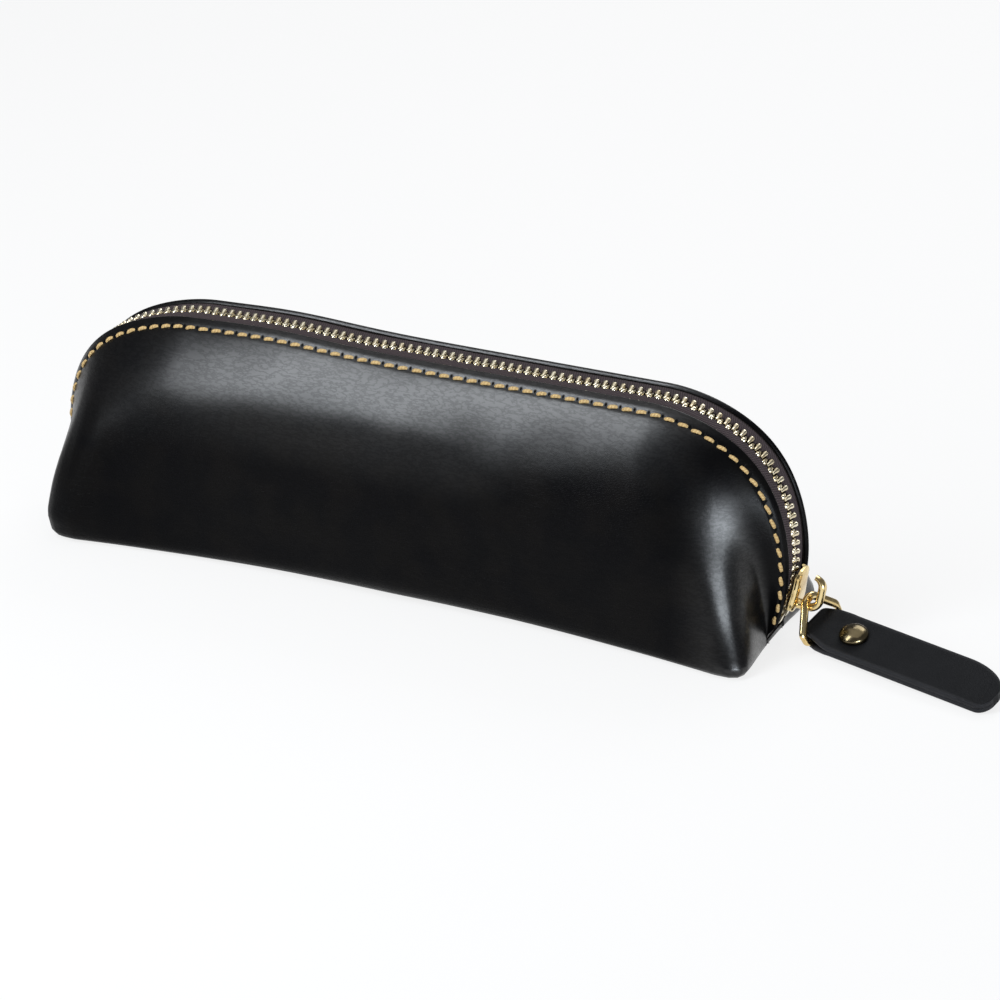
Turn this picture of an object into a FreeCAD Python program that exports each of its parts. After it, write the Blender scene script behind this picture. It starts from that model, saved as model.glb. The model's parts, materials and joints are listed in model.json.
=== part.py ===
"""Zipped leather pen case with a boxed base, an arched zip and a folded leather pull.

Millimetres, +Z up. The origin is the middle of the flat base, on the surface that the case
stands on. +X points to the end where the slider waits when the case is shut, and -Y is the front.
"""

import FreeCAD
import Part
import Sketcher
import math
import os

V = FreeCAD.Vector
UP = V(0, 0, 1)

# Driving dimensions: name, millimetres or degrees, meaning
SIZES = [
    ("base_length", "195", "flat base, end to end"),
    ("base_width", "50", "flat base, front to back at its corners"),
    ("base_waist", "34", "flat base, front to back at its middle"),
    ("base_corner", "2.5", "corner radius of the flat base"),
    ("base_ear", "5", "straight length of the base's long sides at each corner"),
    ("leather", "1.5", "leather thickness"),
    ("seam_gap", "0.3", "gap where the sides turn up from the base"),
    ("end_tab", "1.6", "reach of the base under each end of the zip"),
    ("front_fold", "6.6", "outer radius of the long folds at their middle"),
    ("corner_fold", "2.4", "outer radius of the fold at the corners"),
    ("end_fold", "2.0", "outer radius of the fold beside the zip ends"),
    ("arch_height", "62.4", "height of the leather edge along the top"),
    ("arch_run", "128", "straight run of the arch"),
    ("arch_radius", "40.4", "radius of the leather edge at the arch's ends"),
    ("arch_foot", "2.4", "height of the leather edge at its ends"),
    ("lip_angle", "30", "slope of the leather beside the zip, degrees"),
    ("lip_pull", "0.28", "how far the lip's slope is felt, share of the section"),
    ("side_pull", "0.45", "how far the upright side is felt, share of the section"),
    ("end_pull", "0.2", "how far it is felt beside the zip ends"),
    ("zip_gap", "12", "gap between the two leather edges"),
    ("tape", "0.6", "zip tape thickness"),
    ("tape_gap", "0.3", "gap between the tape and the leather over it"),
    ("tape_under", "2.0", "width of tape under the leather"),
    ("tape_edge", "1.9", "distance of the tape's edge from the zip's middle"),
    ("tape_foot", "5.1", "height of the tape's middle at its ends"),
    ("tooth_pitch", "2.4", "spacing of the teeth in one row"),
    ("tooth_length", "1.0", "tooth size along the zip"),
    ("tooth_height", "2.8", "tooth size through the tape"),
    ("tooth_mesh", "0.8", "how far a tooth reaches past the zip's middle"),
    ("tooth_bevel", "0.4", "bevel of a tooth's long edges"),
    ("chain_width", "5.6", "width over both rows of teeth"),
    ("row_parting", "1.4", "how far the slider's wedge moves each row aside"),
    ("stop_length", "2.4", "length of the stops"),
    ("stop_wall", "0.6", "wall of the stops"),
    ("stop_gap", "0.6", "gap between a stop and what it stops"),
    ("slider_height", "15.7", "height of the slider's middle at rest"),
    ("slider_length", "11.4", "slider length"),
    ("slider_nose", "10.0", "slider width at the end with the wedge"),
    ("slider_tail", "8.6", "slider width at the end where the zip comes out shut"),
    ("slider_waist", "3.8", "length over which the slider narrows"),
    ("slider_plate", "1.2", "thickness of the slider's two plates"),
    ("slider_wall", "0.7", "thickness of the slider's side flanges"),
    ("channel_height", "4.0", "clear height for the teeth"),
    ("slot_height", "2.0", "clear height for the tape between the flanges"),
    ("wedge_width", "0.9", "width of the slider's wedge"),
    ("wedge_length", "4.4", "length of the slider's wedge"),
    ("slider_round", "0.5", "rounding of the slider's edges"),
    ("crown_width", "2.6", "width of the hook on the slider"),
    ("crown_bar", "1.7", "thickness of the hook's bar"),
    ("crown_height", "6.0", "height of the hook above the slider"),
    ("crown_length", "10.4", "length of the hook"),
    ("crown_mouth", "1.9", "gap under the hook's tip"),
    ("crown_bend", "2.2", "size of the bends in the hook"),
    ("crown_round", "0.4", "rounding of the hook's edges"),
    ("wire", "1.4", "diameter of the ring's wire"),
    ("ring_bar", "14.6", "length of the ring's straight side, wire middle to middle"),
    ("ring_height", "9.3", "height of the ring, wire middle to middle"),
    ("ring_corner", "1.0", "radius of the bends at the ring's straight side"),
    ("ring_upright", "2.6", "height of the ring's sides before they lean in, wire middle to middle"),
    ("ring_top", "3.0", "width of the ring's top, wire middle to middle"),
    ("ring_bend", "2.4", "radius of the ring's other bends"),
    ("ring_lean", "22", "lean of the ring from upright, degrees"),
    ("hook_gap", "0.8", "gap between the ring's top bend and the hook's root"),
    ("pull_yaw", "15", "turn of the pull towards the front, degrees"),
    ("pull_roll", "15", "tilt of the pull about its length, degrees"),
    ("strap_dip", "1.5", "slope of the strap, degrees"),
    ("strap_length", "51", "strap from the ring's bar to its tip"),
    ("strap_width", "14.5", "strap width"),
    ("strap_layer", "1.35", "thickness of each of the strap's two layers"),
    ("strap_tip", "6", "corner radius of the strap's tip"),
    ("strap_neck", "12.4", "strap width at the fold round the ring's bar"),
    ("strap_taper", "5.5", "length over which the strap widens from its neck"),
    ("strap_eye", "6.5", "length of the open fold round the ring's bar"),
    ("bar_gap", "0.3", "gap between the strap and the ring's bar"),
    ("rivet_place", "10.6", "rivet from the ring's bar"),
    ("rivet_head", "7.0", "diameter of the rivet's domed head"),
    ("rivet_dome", "1.7", "height of the rivet's domed head"),
    ("rivet_rim", "0.4", "upright rim of the rivet's heads"),
    ("rivet_shank", "2.4", "diameter of the rivet's shank"),
    ("rivet_fit", "0.1", "gap round the rivet's shank and under its heads"),
    ("rivet_back", "6.4", "diameter of the rivet's flat back"),
    ("stitch_inset", "3.0", "stitches from the leather edge"),
    ("stitch_pitch", "3.9", "spacing of the stitches"),
    ("stitch_length", "2.9", "length of a stitch"),
    ("stitch_width", "0.75", "width of a stitch"),
    ("stitch_height", "0.5", "height of a stitch over the leather"),
    ("stitch_gap", "0.06", "gap between a stitch and the leather"),
    ("stitch_slant", "10", "slant of a stitch from its seam, degrees"),
    ("stitch_foot", "10.9", "height of the arch where the stitching ends"),
]

doc = FreeCAD.newDocument("pen_case")
sizes = doc.addObject("Spreadsheet::Sheet", "sizes")
for row, (alias, number, meaning) in enumerate(SIZES, start=1):
    sizes.set(f"A{row}", alias)
    sizes.set(f"B{row}", number)
    sizes.set(f"C{row}", meaning)
    sizes.setAlias(f"B{row}", alias)
doc.recompute()

# Lengths that several pieces share, in the sheet's terms
CHAIN_DROP = "(sizes.leather * cos(sizes.lip_angle) + sizes.tape_gap + sizes.tape / 2)"
CHAIN_RADIUS = f"(sizes.arch_radius - {CHAIN_DROP})"
BASE_FLARE = "((sizes.base_width - sizes.base_waist) / 2)"
FLARE_REACH = "(sizes.base_length / 2 - sizes.base_ear)"
FLARE_RADIUS = f"(({FLARE_REACH}^2 + {BASE_FLARE}^2) / (2 * {BASE_FLARE}))"
TAPE_BEND = "(sizes.zip_gap / 2 - sizes.leather * sin(sizes.lip_angle))"
STRAP_EYE_RADIUS = "(sizes.wire / 2 + sizes.bar_gap)"


def worth(expression):
    """The number that an expression over the sheet stands for."""
    return float(sizes.evalExpression(expression))


chain_radius = worth(CHAIN_RADIUS)
flare_radius = worth(FLARE_RADIUS)


def new_body(name):
    body = doc.addObject("PartDesign::Body", name)
    body.Label = name
    return body


def new_sketch(body, role, offset=("0", "0", "0")):
    """A sketch on one of its body's origin planes, moved by three expressions in the plane's axes."""
    sketch = body.newObject("Sketcher::SketchObject", f"{body.Name}_sketch")
    plane = next(f for f in body.Origin.OriginFeatures if f.Role == role)
    sketch.AttachmentSupport = [(plane, "")]
    sketch.MapMode = "FlatFace"
    for axis, expression in zip("xyz", offset):
        if expression != "0":
            sketch.setExpression(f"AttachmentOffset.Base.{axis}", expression)
    return sketch


def bind(sketch, constraint, expression):
    index = sketch.addConstraint(constraint)
    sketch.setExpression(f"Constraints[{index}]", expression)


def pin_point(sketch, geometry, position, x, y):
    """Hold one point of a sketch at a pair of expressions."""
    bind(sketch, Sketcher.Constraint("DistanceX", -1, 1, geometry, position, worth(x)), x)
    bind(sketch, Sketcher.Constraint("DistanceY", -1, 1, geometry, position, worth(y)), y)


def dome_arc(rim, top):
    """An arc from a rim up to a top point on the upright axis, which its centre lies on too."""
    height = (top.y**2 - rim.x**2 - rim.y**2) / (2 * (top.y - rim.y))
    circle = Part.Circle(V(0, height, 0), UP, top.y - height)
    return Part.ArcOfCircle(circle, math.atan2(rim.y - height, rim.x), math.pi / 2)


def draw_outline(sketch, corners, domed=None):
    """A closed, straight-sided outline whose corners are pairs of expressions.

    The side that starts at the domed corner, if any, is an arc to the upright axis instead.
    """
    first = sketch.GeometryCount
    points = [V(worth(x), worth(y), 0) for x, y in corners]
    count = len(points)
    for i, point in enumerate(points):
        end = points[(i + 1) % count]
        if i == domed:
            arc = sketch.addGeometry(dome_arc(point, end))
            sketch.addConstraint(Sketcher.Constraint("PointOnObject", arc, 3, -2))
        else:
            sketch.addGeometry(Part.LineSegment(point, end))
    for i, (x, y) in enumerate(corners):
        before = first + (i - 1) % count
        sketch.addConstraint(Sketcher.Constraint("Coincident", before, 2, first + i, 1))
        pin_point(sketch, first + i, 1, x, y)


def draw_circle(sketch, x, y, radius):
    circle = Part.Circle(V(worth(x), worth(y), 0), UP, worth(radius))
    index = sketch.addGeometry(circle)
    pin_point(sketch, index, 3, x, y)
    bind(sketch, Sketcher.Constraint("Radius", index, worth(radius)), radius)


def add_pad(body, sketch, length, symmetric=False, kind="Pad"):
    feature = body.newObject(f"PartDesign::{kind}", f"{body.Name}_{kind.lower()}")
    feature.Profile = sketch
    if symmetric:
        feature.SideType = "Symmetric"
    feature.setExpression("Length", length)
    doc.recompute()
    return feature


def round_edges(body, radius, wanted):
    """Fillet the edges of a body that the given test picks."""
    base = body.Tip
    names = [f"Edge{i}" for i, edge in enumerate(base.Shape.Edges, start=1) if wanted(edge)]
    fillet = body.newObject("PartDesign::Fillet", f"{body.Name}_fillet")
    fillet.Base = (base, names)
    fillet.setExpression("Radius", radius)
    doc.recompute()


def new_feature(name, shape):
    feature = doc.addObject("Part::Feature", name)
    feature.Label = name
    feature.Shape = shape
    return feature


def frame(origin, along, outward):
    """A placement whose X runs along the zip and whose Z points out of the case."""
    turn = FreeCAD.Rotation(along, outward.cross(along), outward, "ZXY")
    return FreeCAD.Placement(origin, turn)


def arch_frame(distance, radius):
    """Point, direction and outward normal on the zip's arch, at a distance from its top middle.

    The arch is a straight run between two arcs, and it lies in the plane Y = 0.
    """
    half_run = sizes.arch_run / 2
    turned = max(abs(distance) - half_run, 0) / radius
    side = math.copysign(1, distance)
    outward = V(side * math.sin(turned), 0, math.cos(turned))
    along = V(math.cos(turned), 0, -side * math.sin(turned))
    centre = V(max(-half_run, min(half_run, distance)), 0, sizes.arch_height - sizes.arch_radius)
    return centre + outward * radius, along, outward


def arch_length(height, radius):
    """Distance along the arch from its top middle to where it comes down to a height."""
    centre = sizes.arch_height - sizes.arch_radius
    return sizes.arch_run / 2 + radius * math.acos((height - centre) / radius)


def smooth(share):
    share = max(0, min(1, share))
    return share * share * (3 - 2 * share)


def base_edge(distance):
    """Point and outward direction on the line where the front leaves the base.

    The distance runs from the middle of the front, round the right corner, to the end's middle.
    """
    half_length = sizes.base_length / 2 + sizes.seam_gap
    half_width = sizes.base_width / 2 + sizes.seam_gap
    half_waist = sizes.base_waist / 2 + sizes.seam_gap
    radius = sizes.base_corner + sizes.seam_gap
    reach = sizes.base_length / 2 - sizes.base_ear
    straight = half_length - radius
    quarter = radius * math.pi / 2
    if distance <= straight:
        wider = flare_radius - math.sqrt(flare_radius**2 - min(distance, reach) ** 2)
        return V(distance, -half_waist - wider, 0), V(0, -1, 0)
    if distance <= straight + quarter:
        turned = (distance - straight) / radius
        outward = V(math.sin(turned), -math.cos(turned), 0)
        return V(straight, radius - half_width, 0) + outward * radius, outward
    return V(half_length, radius - half_width + distance - straight - quarter, 0), V(1, 0, 0)


def base_edge_lengths():
    """Distances of the corner's start, the corner's end and the zip's edge along the base edge."""
    radius = sizes.base_corner + sizes.seam_gap
    start = sizes.base_length / 2 + sizes.seam_gap - radius
    end = start + radius * math.pi / 2
    last = end + sizes.base_width / 2 + sizes.seam_gap - radius - sizes.zip_gap / 2
    return start, end, last


def fold_radius(distance):
    start, end, last = base_edge_lengths()
    if distance <= start:
        return sizes.front_fold + (sizes.corner_fold - sizes.front_fold) * distance / start
    share = smooth((distance - end) / (last - end))
    return sizes.corner_fold + (sizes.end_fold - sizes.corner_fold) * share


FOLD_START = 0.75


def front_leather(distance, share):
    """A point on the front's outer face, from the zip's edge (share 0) to the base (share 1).

    Each section leaves the zip's edge at the lip's slope, turns upright, and goes round the fold.
    """
    edge_end = arch_length(sizes.arch_foot, sizes.arch_radius)
    last = base_edge_lengths()[2]
    half_run = sizes.arch_run / 2
    side = math.copysign(1, distance)
    passed = abs(distance)
    origin, along, outward = arch_frame(passed, sizes.arch_radius)
    along_arc = max(passed - half_run, 0) / (edge_end - half_run)
    ratio = (edge_end - half_run) / (last - half_run)
    if passed > half_run:
        passed = half_run + (last - half_run) * (ratio * along_arc + (1 - ratio) * along_arc**2)
    foot, out = base_edge(passed)
    radius = fold_radius(passed)
    turn_in = UP * radius
    lip = math.radians(sizes.lip_angle) * (1 - smooth(along_arc))
    edge = origin - V(0, sizes.zip_gap / 2, 0)
    if share <= FOLD_START:
        fold_top = foot + out * radius + turn_in
        span = (edge - fold_top).Length
        lip_end = edge + (V(0, -math.cos(lip), 0) - outward * math.sin(lip)) * span * sizes.lip_pull
        side_pull = sizes.side_pull + (sizes.end_pull - sizes.side_pull) * smooth(along_arc)
        side_top = fold_top + UP * span * side_pull
        a = share / FOLD_START
        b = 1 - a
        point = edge * b**3 + lip_end * 3 * a * b**2 + side_top * 3 * a**2 * b + fold_top * a**3
    else:
        turned = (share - FOLD_START) / (1 - FOLD_START) * math.pi / 2
        point = foot + turn_in + out * radius * math.cos(turned) - UP * radius * math.sin(turned)
    return V(side * point.x, point.y, point.z)


def front_normal(distance, share, step=0.01):
    """Outward normal of the front's outer face."""
    edge_end = arch_length(sizes.arch_foot, sizes.arch_radius)
    high = min(distance + step, edge_end)
    low = max(distance - step, -edge_end)
    down = min(share + step / 100, 1)
    over = max(share - step / 100, 0)
    across = front_leather(high, share) - front_leather(low, share)
    downward = front_leather(distance, down) - front_leather(distance, over)
    return downward.cross(across).normalize()


def soft_surface(grid):
    """A cubic surface drawn smoothly over a grid of points, through the points of its four corners."""
    degree = 3
    spans = [len(grid) - degree, len(grid[0]) - degree]
    knots = [list(range(count + 1)) for count in spans]
    repeats = [[degree + 1] + [1] * (count - 1) + [degree + 1] for count in spans]
    surface = Part.BSplineSurface()
    surface.buildFromPolesMultsKnots(grid, *repeats, *knots, False, False, degree, degree)
    return surface


def leather_side():
    """The front as one soft sheet: outer and inner faces through sections, and four narrow edges."""
    edge_end = arch_length(sizes.arch_foot, sizes.arch_radius)
    half_run = sizes.arch_run / 2
    run_count = 6
    arc_count = 28
    half = [half_run * i / run_count for i in range(run_count)]
    half += [half_run + (edge_end - half_run) * i / arc_count for i in range(arc_count + 1)]
    stations = [-s for s in reversed(half[1:])] + half
    side_count = 14
    fold_count = 6
    shares = [FOLD_START * i / side_count for i in range(side_count)]
    shares += [FOLD_START + (1 - FOLD_START) * i / fold_count for i in range(fold_count + 1)]
    outer = soft_surface([[front_leather(s, v) for v in shares] for s in stations])
    inner = soft_surface([
        [front_leather(s, v) - front_normal(s, v) * sizes.leather for v in shares]
        for s in stations
    ])
    same_way = 1
    u_low, u_high, v_low, v_high = outer.bounds()
    rims = [(outer.uIso(u), inner.uIso(u)) for u in (u_low, u_high)]
    rims += [(outer.vIso(v), inner.vIso(v)) for v in (v_low, v_high)]
    faces = [outer.toShape(), inner.toShape()]
    faces += [Part.makeRuledSurface(a.toShape(), b.toShape(), same_way) for a, b in rims]
    shell = Part.makeShell(faces)
    shell.sewShape()
    return Part.makeSolid(shell)


def make_leather():
    front = leather_side()
    new_feature("front_panel", front)
    new_feature("back_panel", front.mirror(V(0, 0, 0), V(0, 1, 0)))


def make_base():
    """The flat base: hollowed along its sides, with a tab under each end of the zip."""
    body = new_body("base_panel")
    sketch = new_sketch(body, "XY_Plane")
    end = "sizes.base_length / 2"
    side = "sizes.base_width / 2"
    tab_end = "(sizes.base_length / 2 + sizes.end_tab)"
    tab_side = "(sizes.zip_gap / 2 - sizes.seam_gap)"
    draw_outline(sketch, [
        (end, f"-{side}"),
        (end, f"-{tab_side}"),
        (tab_end, f"-{tab_side}"),
        (tab_end, tab_side),
        (end, tab_side),
        (end, side),
        (f"-{end}", side),
        (f"-{end}", tab_side),
        (f"-{tab_end}", tab_side),
        (f"-{tab_end}", f"-{tab_side}"),
        (f"-{end}", f"-{tab_side}"),
        (f"-{end}", f"-{side}"),
    ])
    add_pad(body, sketch, "sizes.leather")
    hollows = new_sketch(body, "XY_Plane")
    for sign in ("", "-"):
        draw_circle(hollows, "0", f"{sign}({FLARE_RADIUS} + sizes.base_waist / 2)", FLARE_RADIUS)
    add_pad(body, hollows, "2 * sizes.leather", symmetric=True, kind="Pocket")
    corner = V(sizes.base_length / 2, sizes.base_width / 2, 0)
    round_edges(body, "sizes.base_corner", lambda edge: is_corner(edge, corner))


def is_corner(edge, corner):
    """Whether an edge stands upright at one of the four places that mirror a corner."""
    middle = edge.CenterOfMass
    there = abs(abs(middle.x) - corner.x) < 1e-6 and abs(abs(middle.y) - corner.y) < 1e-6
    return there and edge.BoundBox.ZLength > 1e-6


def make_tape(name, sign):
    """One zip tape: flat beside the teeth, bent down under the leather, swept along the arch."""
    body = new_body(name)
    lip_cos = "cos(sizes.lip_angle)"
    lip_sin = "sin(sizes.lip_angle)"
    top = f"({CHAIN_RADIUS} + sizes.tape / 2)"
    low = f"({CHAIN_RADIUS} - sizes.tape / 2)"
    outer = f"({TAPE_BEND} + sizes.tape_under * {lip_cos})"
    dip = f"({top} - sizes.tape_under * {lip_sin})"
    corners = [
        (f"{sign}sizes.tape_edge", top),
        (f"{sign}{TAPE_BEND}", top),
        (f"{sign}{outer}", dip),
        (f"{sign}({outer} - sizes.tape * {lip_sin})", f"{dip} - sizes.tape * {lip_cos}"),
        (f"{sign}({TAPE_BEND} - sizes.tape * tan(sizes.lip_angle / 2))", low),
        (f"{sign}sizes.tape_edge", low),
    ]
    centre = "(sizes.arch_height - sizes.arch_radius)"
    run_sketch = new_sketch(body, "YZ_Plane", ("0", centre, "0"))
    draw_outline(run_sketch, corners)
    add_pad(body, run_sketch, "sizes.arch_run", symmetric=True)
    bend_sketch = new_sketch(body, "YZ_Plane", ("0", centre, "sizes.arch_run / 2"))
    draw_outline(bend_sketch, corners)
    bend = body.newObject("PartDesign::Revolution", f"{name}_bend")
    bend.Profile = bend_sketch
    bend.ReferenceAxis = (bend_sketch, ["H_Axis"])
    bend.setExpression("Angle", f"acos((sizes.tape_foot - {centre}) / {CHAIN_RADIUS})")
    doc.recompute()
    other = body.newObject("PartDesign::Mirrored", f"{name}_other_bend")
    other.Originals = [bend]
    plane = next(f for f in body.Origin.OriginFeatures if f.Role == "YZ_Plane")
    other.MirrorPlane = (plane, [""])
    body.Tip = other
    doc.recompute()


def tooth_shape():
    """One tooth: a short bar through the tape's edge, with bevelled long edges."""
    outer = -sizes.chain_width / 2
    inner = sizes.tooth_mesh
    half = sizes.tooth_height / 2
    bevel = sizes.tooth_bevel
    corners = [
        (outer, half - bevel),
        (outer + bevel, half),
        (inner - bevel, half),
        (inner, half - bevel),
        (inner, bevel - half),
        (inner - bevel, -half),
        (outer + bevel, -half),
        (outer, bevel - half),
    ]
    points = [V(-sizes.tooth_length / 2, y, z) for y, z in corners]
    face = Part.Face(Part.makePolygon(points + points[:1]))
    return face.extrude(V(sizes.tooth_length, 0, 0))


def slider_distance():
    return arch_length(sizes.slider_height, chain_radius)


def make_teeth():
    """Two rows of teeth, half a pitch apart, which part round the wedge inside the slider."""
    nose = slider_distance() + sizes.slider_length / 2
    chain_end = nose + sizes.tooth_length
    parting_start = slider_distance() - sizes.tooth_pitch
    parting_end = nose - sizes.wedge_length / 2
    tooth = tooth_shape()
    facing = tooth.mirror(V(0, 0, 0), V(0, 1, 0))
    for name, shape, side, shift in (
        ("front_teeth", tooth, -1, 0),
        ("back_teeth", facing, 1, sizes.tooth_pitch / 2),
    ):
        count = int((2 * chain_end - shift) / sizes.tooth_pitch)
        row = []
        for i in range(count + 1):
            distance = chain_end - shift - i * sizes.tooth_pitch
            passed = (distance - parting_start) / (parting_end - parting_start)
            apart = sizes.row_parting * smooth(passed)
            place = frame(*arch_frame(distance, chain_radius))
            place.Base += V(0, side * apart, 0)
            copy = shape.copy()
            copy.Placement = place
            row.append(copy)
        new_feature(name, Part.makeCompound(row))


def stop_profile(sketch, sign):
    """A clamp on one tape's edge, open on the side that the tape comes in from."""
    half = "(sizes.tooth_height / 2)"
    hole = "(sizes.tape / 2 + sizes.rivet_fit)"
    inner = "(sizes.tape_edge - sizes.stop_wall - sizes.rivet_fit)"
    seat = "(sizes.tape_edge - sizes.rivet_fit)"
    outer = "(sizes.chain_width / 2 + sizes.stop_wall)"
    draw_outline(sketch, [
        (f"{sign}{inner}", f"-{half}"),
        (f"{sign}{outer}", f"-{half}"),
        (f"{sign}{outer}", f"-{hole}"),
        (f"{sign}{seat}", f"-{hole}"),
        (f"{sign}{seat}", hole),
        (f"{sign}{outer}", hole),
        (f"{sign}{outer}", half),
        (f"{sign}{inner}", half),
    ])


def make_stops():
    """A top stop on each tape past the slider's wedge, and one bottom stop that bridges both."""
    top_place = slider_distance() + sizes.slider_length / 2 + sizes.stop_gap + sizes.stop_length
    for name, sign in (("front_top_stop", "-"), ("back_top_stop", "")):
        body = new_body(name)
        sketch = new_sketch(body, "YZ_Plane")
        stop_profile(sketch, sign)
        add_pad(body, sketch, "sizes.stop_length", symmetric=True)
        body.Placement = frame(*arch_frame(top_place, chain_radius))
    body = new_body("bottom_stop")
    sketch = new_sketch(body, "YZ_Plane")
    half = "(sizes.tooth_height / 2)"
    hole = "(sizes.tape / 2 + sizes.tape_gap)"
    web = "(sizes.tape_edge - sizes.stop_wall)"
    outer = "(sizes.chain_width / 2)"
    draw_outline(sketch, [
        (f"-{outer}", f"-{half}"),
        (outer, f"-{half}"),
        (outer, f"-{hole}"),
        (web, f"-{hole}"),
        (web, hole),
        (outer, hole),
        (outer, half),
        (f"-{outer}", half),
        (f"-{outer}", hole),
        (f"-{web}", hole),
        (f"-{web}", f"-{hole}"),
        (f"-{outer}", f"-{hole}"),
    ])
    add_pad(body, sketch, "sizes.stop_length", symmetric=True)
    body.Placement = frame(*arch_frame(-top_place, chain_radius))


def slider_frame():
    return frame(*arch_frame(slider_distance(), chain_radius))


def wedge_outline(sketch):
    """The wedge between the rows, pointed towards the slider's tail."""
    nose = "sizes.slider_length / 2"
    wide = "sizes.wedge_width / 2"
    draw_outline(sketch, [
        (f"{nose} - sizes.slider_plate / 2", f"-{wide}"),
        (f"{nose} - sizes.slider_plate / 2", wide),
        (f"{nose} - sizes.wedge_length / 2", wide),
        (f"{nose} - sizes.wedge_length", "0"),
        (f"{nose} - sizes.wedge_length / 2", f"-{wide}"),
    ])


def slider_outline(sketch, margin, overrun):
    """The slider's plan, wide at the wedge and narrow at the tail.

    Its sides are drawn in by a margin, and its ends are drawn out by an overrun.
    """
    end = f"(sizes.slider_length / 2 + {overrun})"
    nose = f"(sizes.slider_nose / 2 - {margin})"
    tail = f"(sizes.slider_tail / 2 - {margin})"
    waist = "(sizes.slider_waist / 2)"
    draw_outline(sketch, [
        (end, f"-{nose}"),
        (end, nose),
        (waist, nose),
        (f"-{waist}", tail),
        (f"-{end}", tail),
        (f"-{end}", f"-{tail}"),
        (f"-{waist}", f"-{tail}"),
        (waist, f"-{nose}"),
    ])


def make_slider():
    """The slider: two plates joined by a wedge, with flanges that leave a slot for each tape."""
    body = new_body("slider_body")
    block = new_sketch(body, "XY_Plane")
    slider_outline(block, "0", "0")
    add_pad(body, block, "sizes.channel_height + 2 * sizes.slider_plate", symmetric=True)
    top = worth("sizes.channel_height / 2 + sizes.slider_plate")
    round_edges(body, "sizes.slider_round", lambda edge: lies_flat(edge, top))
    channel = new_sketch(body, "XY_Plane")
    slider_outline(channel, "sizes.slider_wall", "sizes.slider_wall")
    wedge_outline(channel)
    add_pad(body, channel, "sizes.channel_height", symmetric=True, kind="Pocket")
    slot = new_sketch(body, "XY_Plane")
    slider_outline(slot, "(-sizes.slider_wall)", "sizes.slider_wall")
    wedge_outline(slot)
    add_pad(body, slot, "sizes.slot_height", symmetric=True, kind="Pocket")
    body.Placement = slider_frame()


def lies_flat(edge, height):
    """Whether an edge lies in one of the two planes at a height above and below the middle."""
    box = edge.BoundBox
    return box.ZLength < 1e-6 and abs(abs(box.ZMin) - height) < 1e-6


def make_crown():
    """The hook on the slider: it stands on the wedge's end and opens towards the tail."""
    body = new_body("slider_crown")
    sketch = new_sketch(body, "XZ_Plane")
    seat = "(sizes.channel_height / 2 + sizes.slider_plate)"
    top = f"({seat} + sizes.crown_height)"
    root = "(sizes.crown_length / 2)"
    bend = "sizes.crown_bend"
    bar = "sizes.crown_bar"
    inner_bend = f"({bend} - {bar} / 2)"
    tip = f"({seat} + sizes.crown_mouth)"
    draw_outline(sketch, [
        (root, seat),
        (root, f"{top} - {bend}"),
        (f"{root} - {bend}", top),
        (f"{bend} - {root}", top),
        (f"-{root}", f"{top} - {bend}"),
        (f"-{root}", tip),
        (f"{bar} - {root}", tip),
        (f"{bar} - {root}", f"{top} - {bar} - {inner_bend}"),
        (f"{bar} + {inner_bend} - {root}", f"{top} - {bar}"),
        (f"{root} - {bar} - {inner_bend}", f"{top} - {bar}"),
        (f"{root} - {bar}", f"{top} - {bar} - {inner_bend}"),
        (f"{root} - {bar}", seat),
    ])
    add_pad(body, sketch, "sizes.crown_width", symmetric=True)
    side = sizes.crown_width / 2
    foot = worth(seat)
    round_edges(body, "sizes.crown_round", lambda edge: on_crown_side(edge, side, foot))
    body.Placement = slider_frame()


def on_crown_side(edge, side, foot):
    """Whether an edge runs round one of the hook's two flat sides, above its foot."""
    box = edge.BoundBox
    return box.YLength < 1e-6 and abs(abs(box.YMin) - side) < 1e-6 and box.ZMax > foot + 1e-6


def rounded_loop(corners, radii):
    """A closed wire of straight runs joined by tangent arcs."""
    count = len(corners)
    arcs = []
    for i, corner in enumerate(corners):
        back = (corners[i - 1] - corner).normalize()
        ahead = (corners[(i + 1) % count] - corner).normalize()
        half = back.getAngle(ahead) / 2
        reach = radii[i] / math.tan(half)
        middle = (back + ahead).normalize() * (radii[i] / math.sin(half) - radii[i])
        arcs.append((corner + back * reach, corner + middle, corner + ahead * reach))
    edges = []
    for i, (start, middle, end) in enumerate(arcs):
        edges.append(Part.Arc(start, middle, end).toShape())
        edges.append(Part.LineSegment(end, arcs[(i + 1) % count][0]).toShape())
    return Part.Wire(edges)


def bar_turn():
    """Rotation of the ring's bar, which lies along the turned Y axis."""
    return FreeCAD.Rotation(UP, -sizes.pull_yaw) * FreeCAD.Rotation(V(1, 0, 0), sizes.pull_roll)


def hook_point():
    """Middle of the ring's wire where it hangs in the hook."""
    seat = sizes.channel_height / 2 + sizes.slider_plate
    room = (sizes.crown_height - sizes.crown_bar) / 2
    root = sizes.crown_length / 2 - sizes.crown_bar
    return slider_frame().multVec(V(root - sizes.hook_gap - sizes.wire / 2, 0, seat + room))


def ring_frame():
    turn = bar_turn() * FreeCAD.Rotation(V(0, 1, 0), -sizes.ring_lean)
    return FreeCAD.Placement(hook_point() - turn.multVec(UP) * sizes.ring_height, turn)


def strap_frame():
    turn = bar_turn() * FreeCAD.Rotation(V(0, 1, 0), sizes.strap_dip)
    return FreeCAD.Placement(ring_frame().Base, turn)


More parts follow.
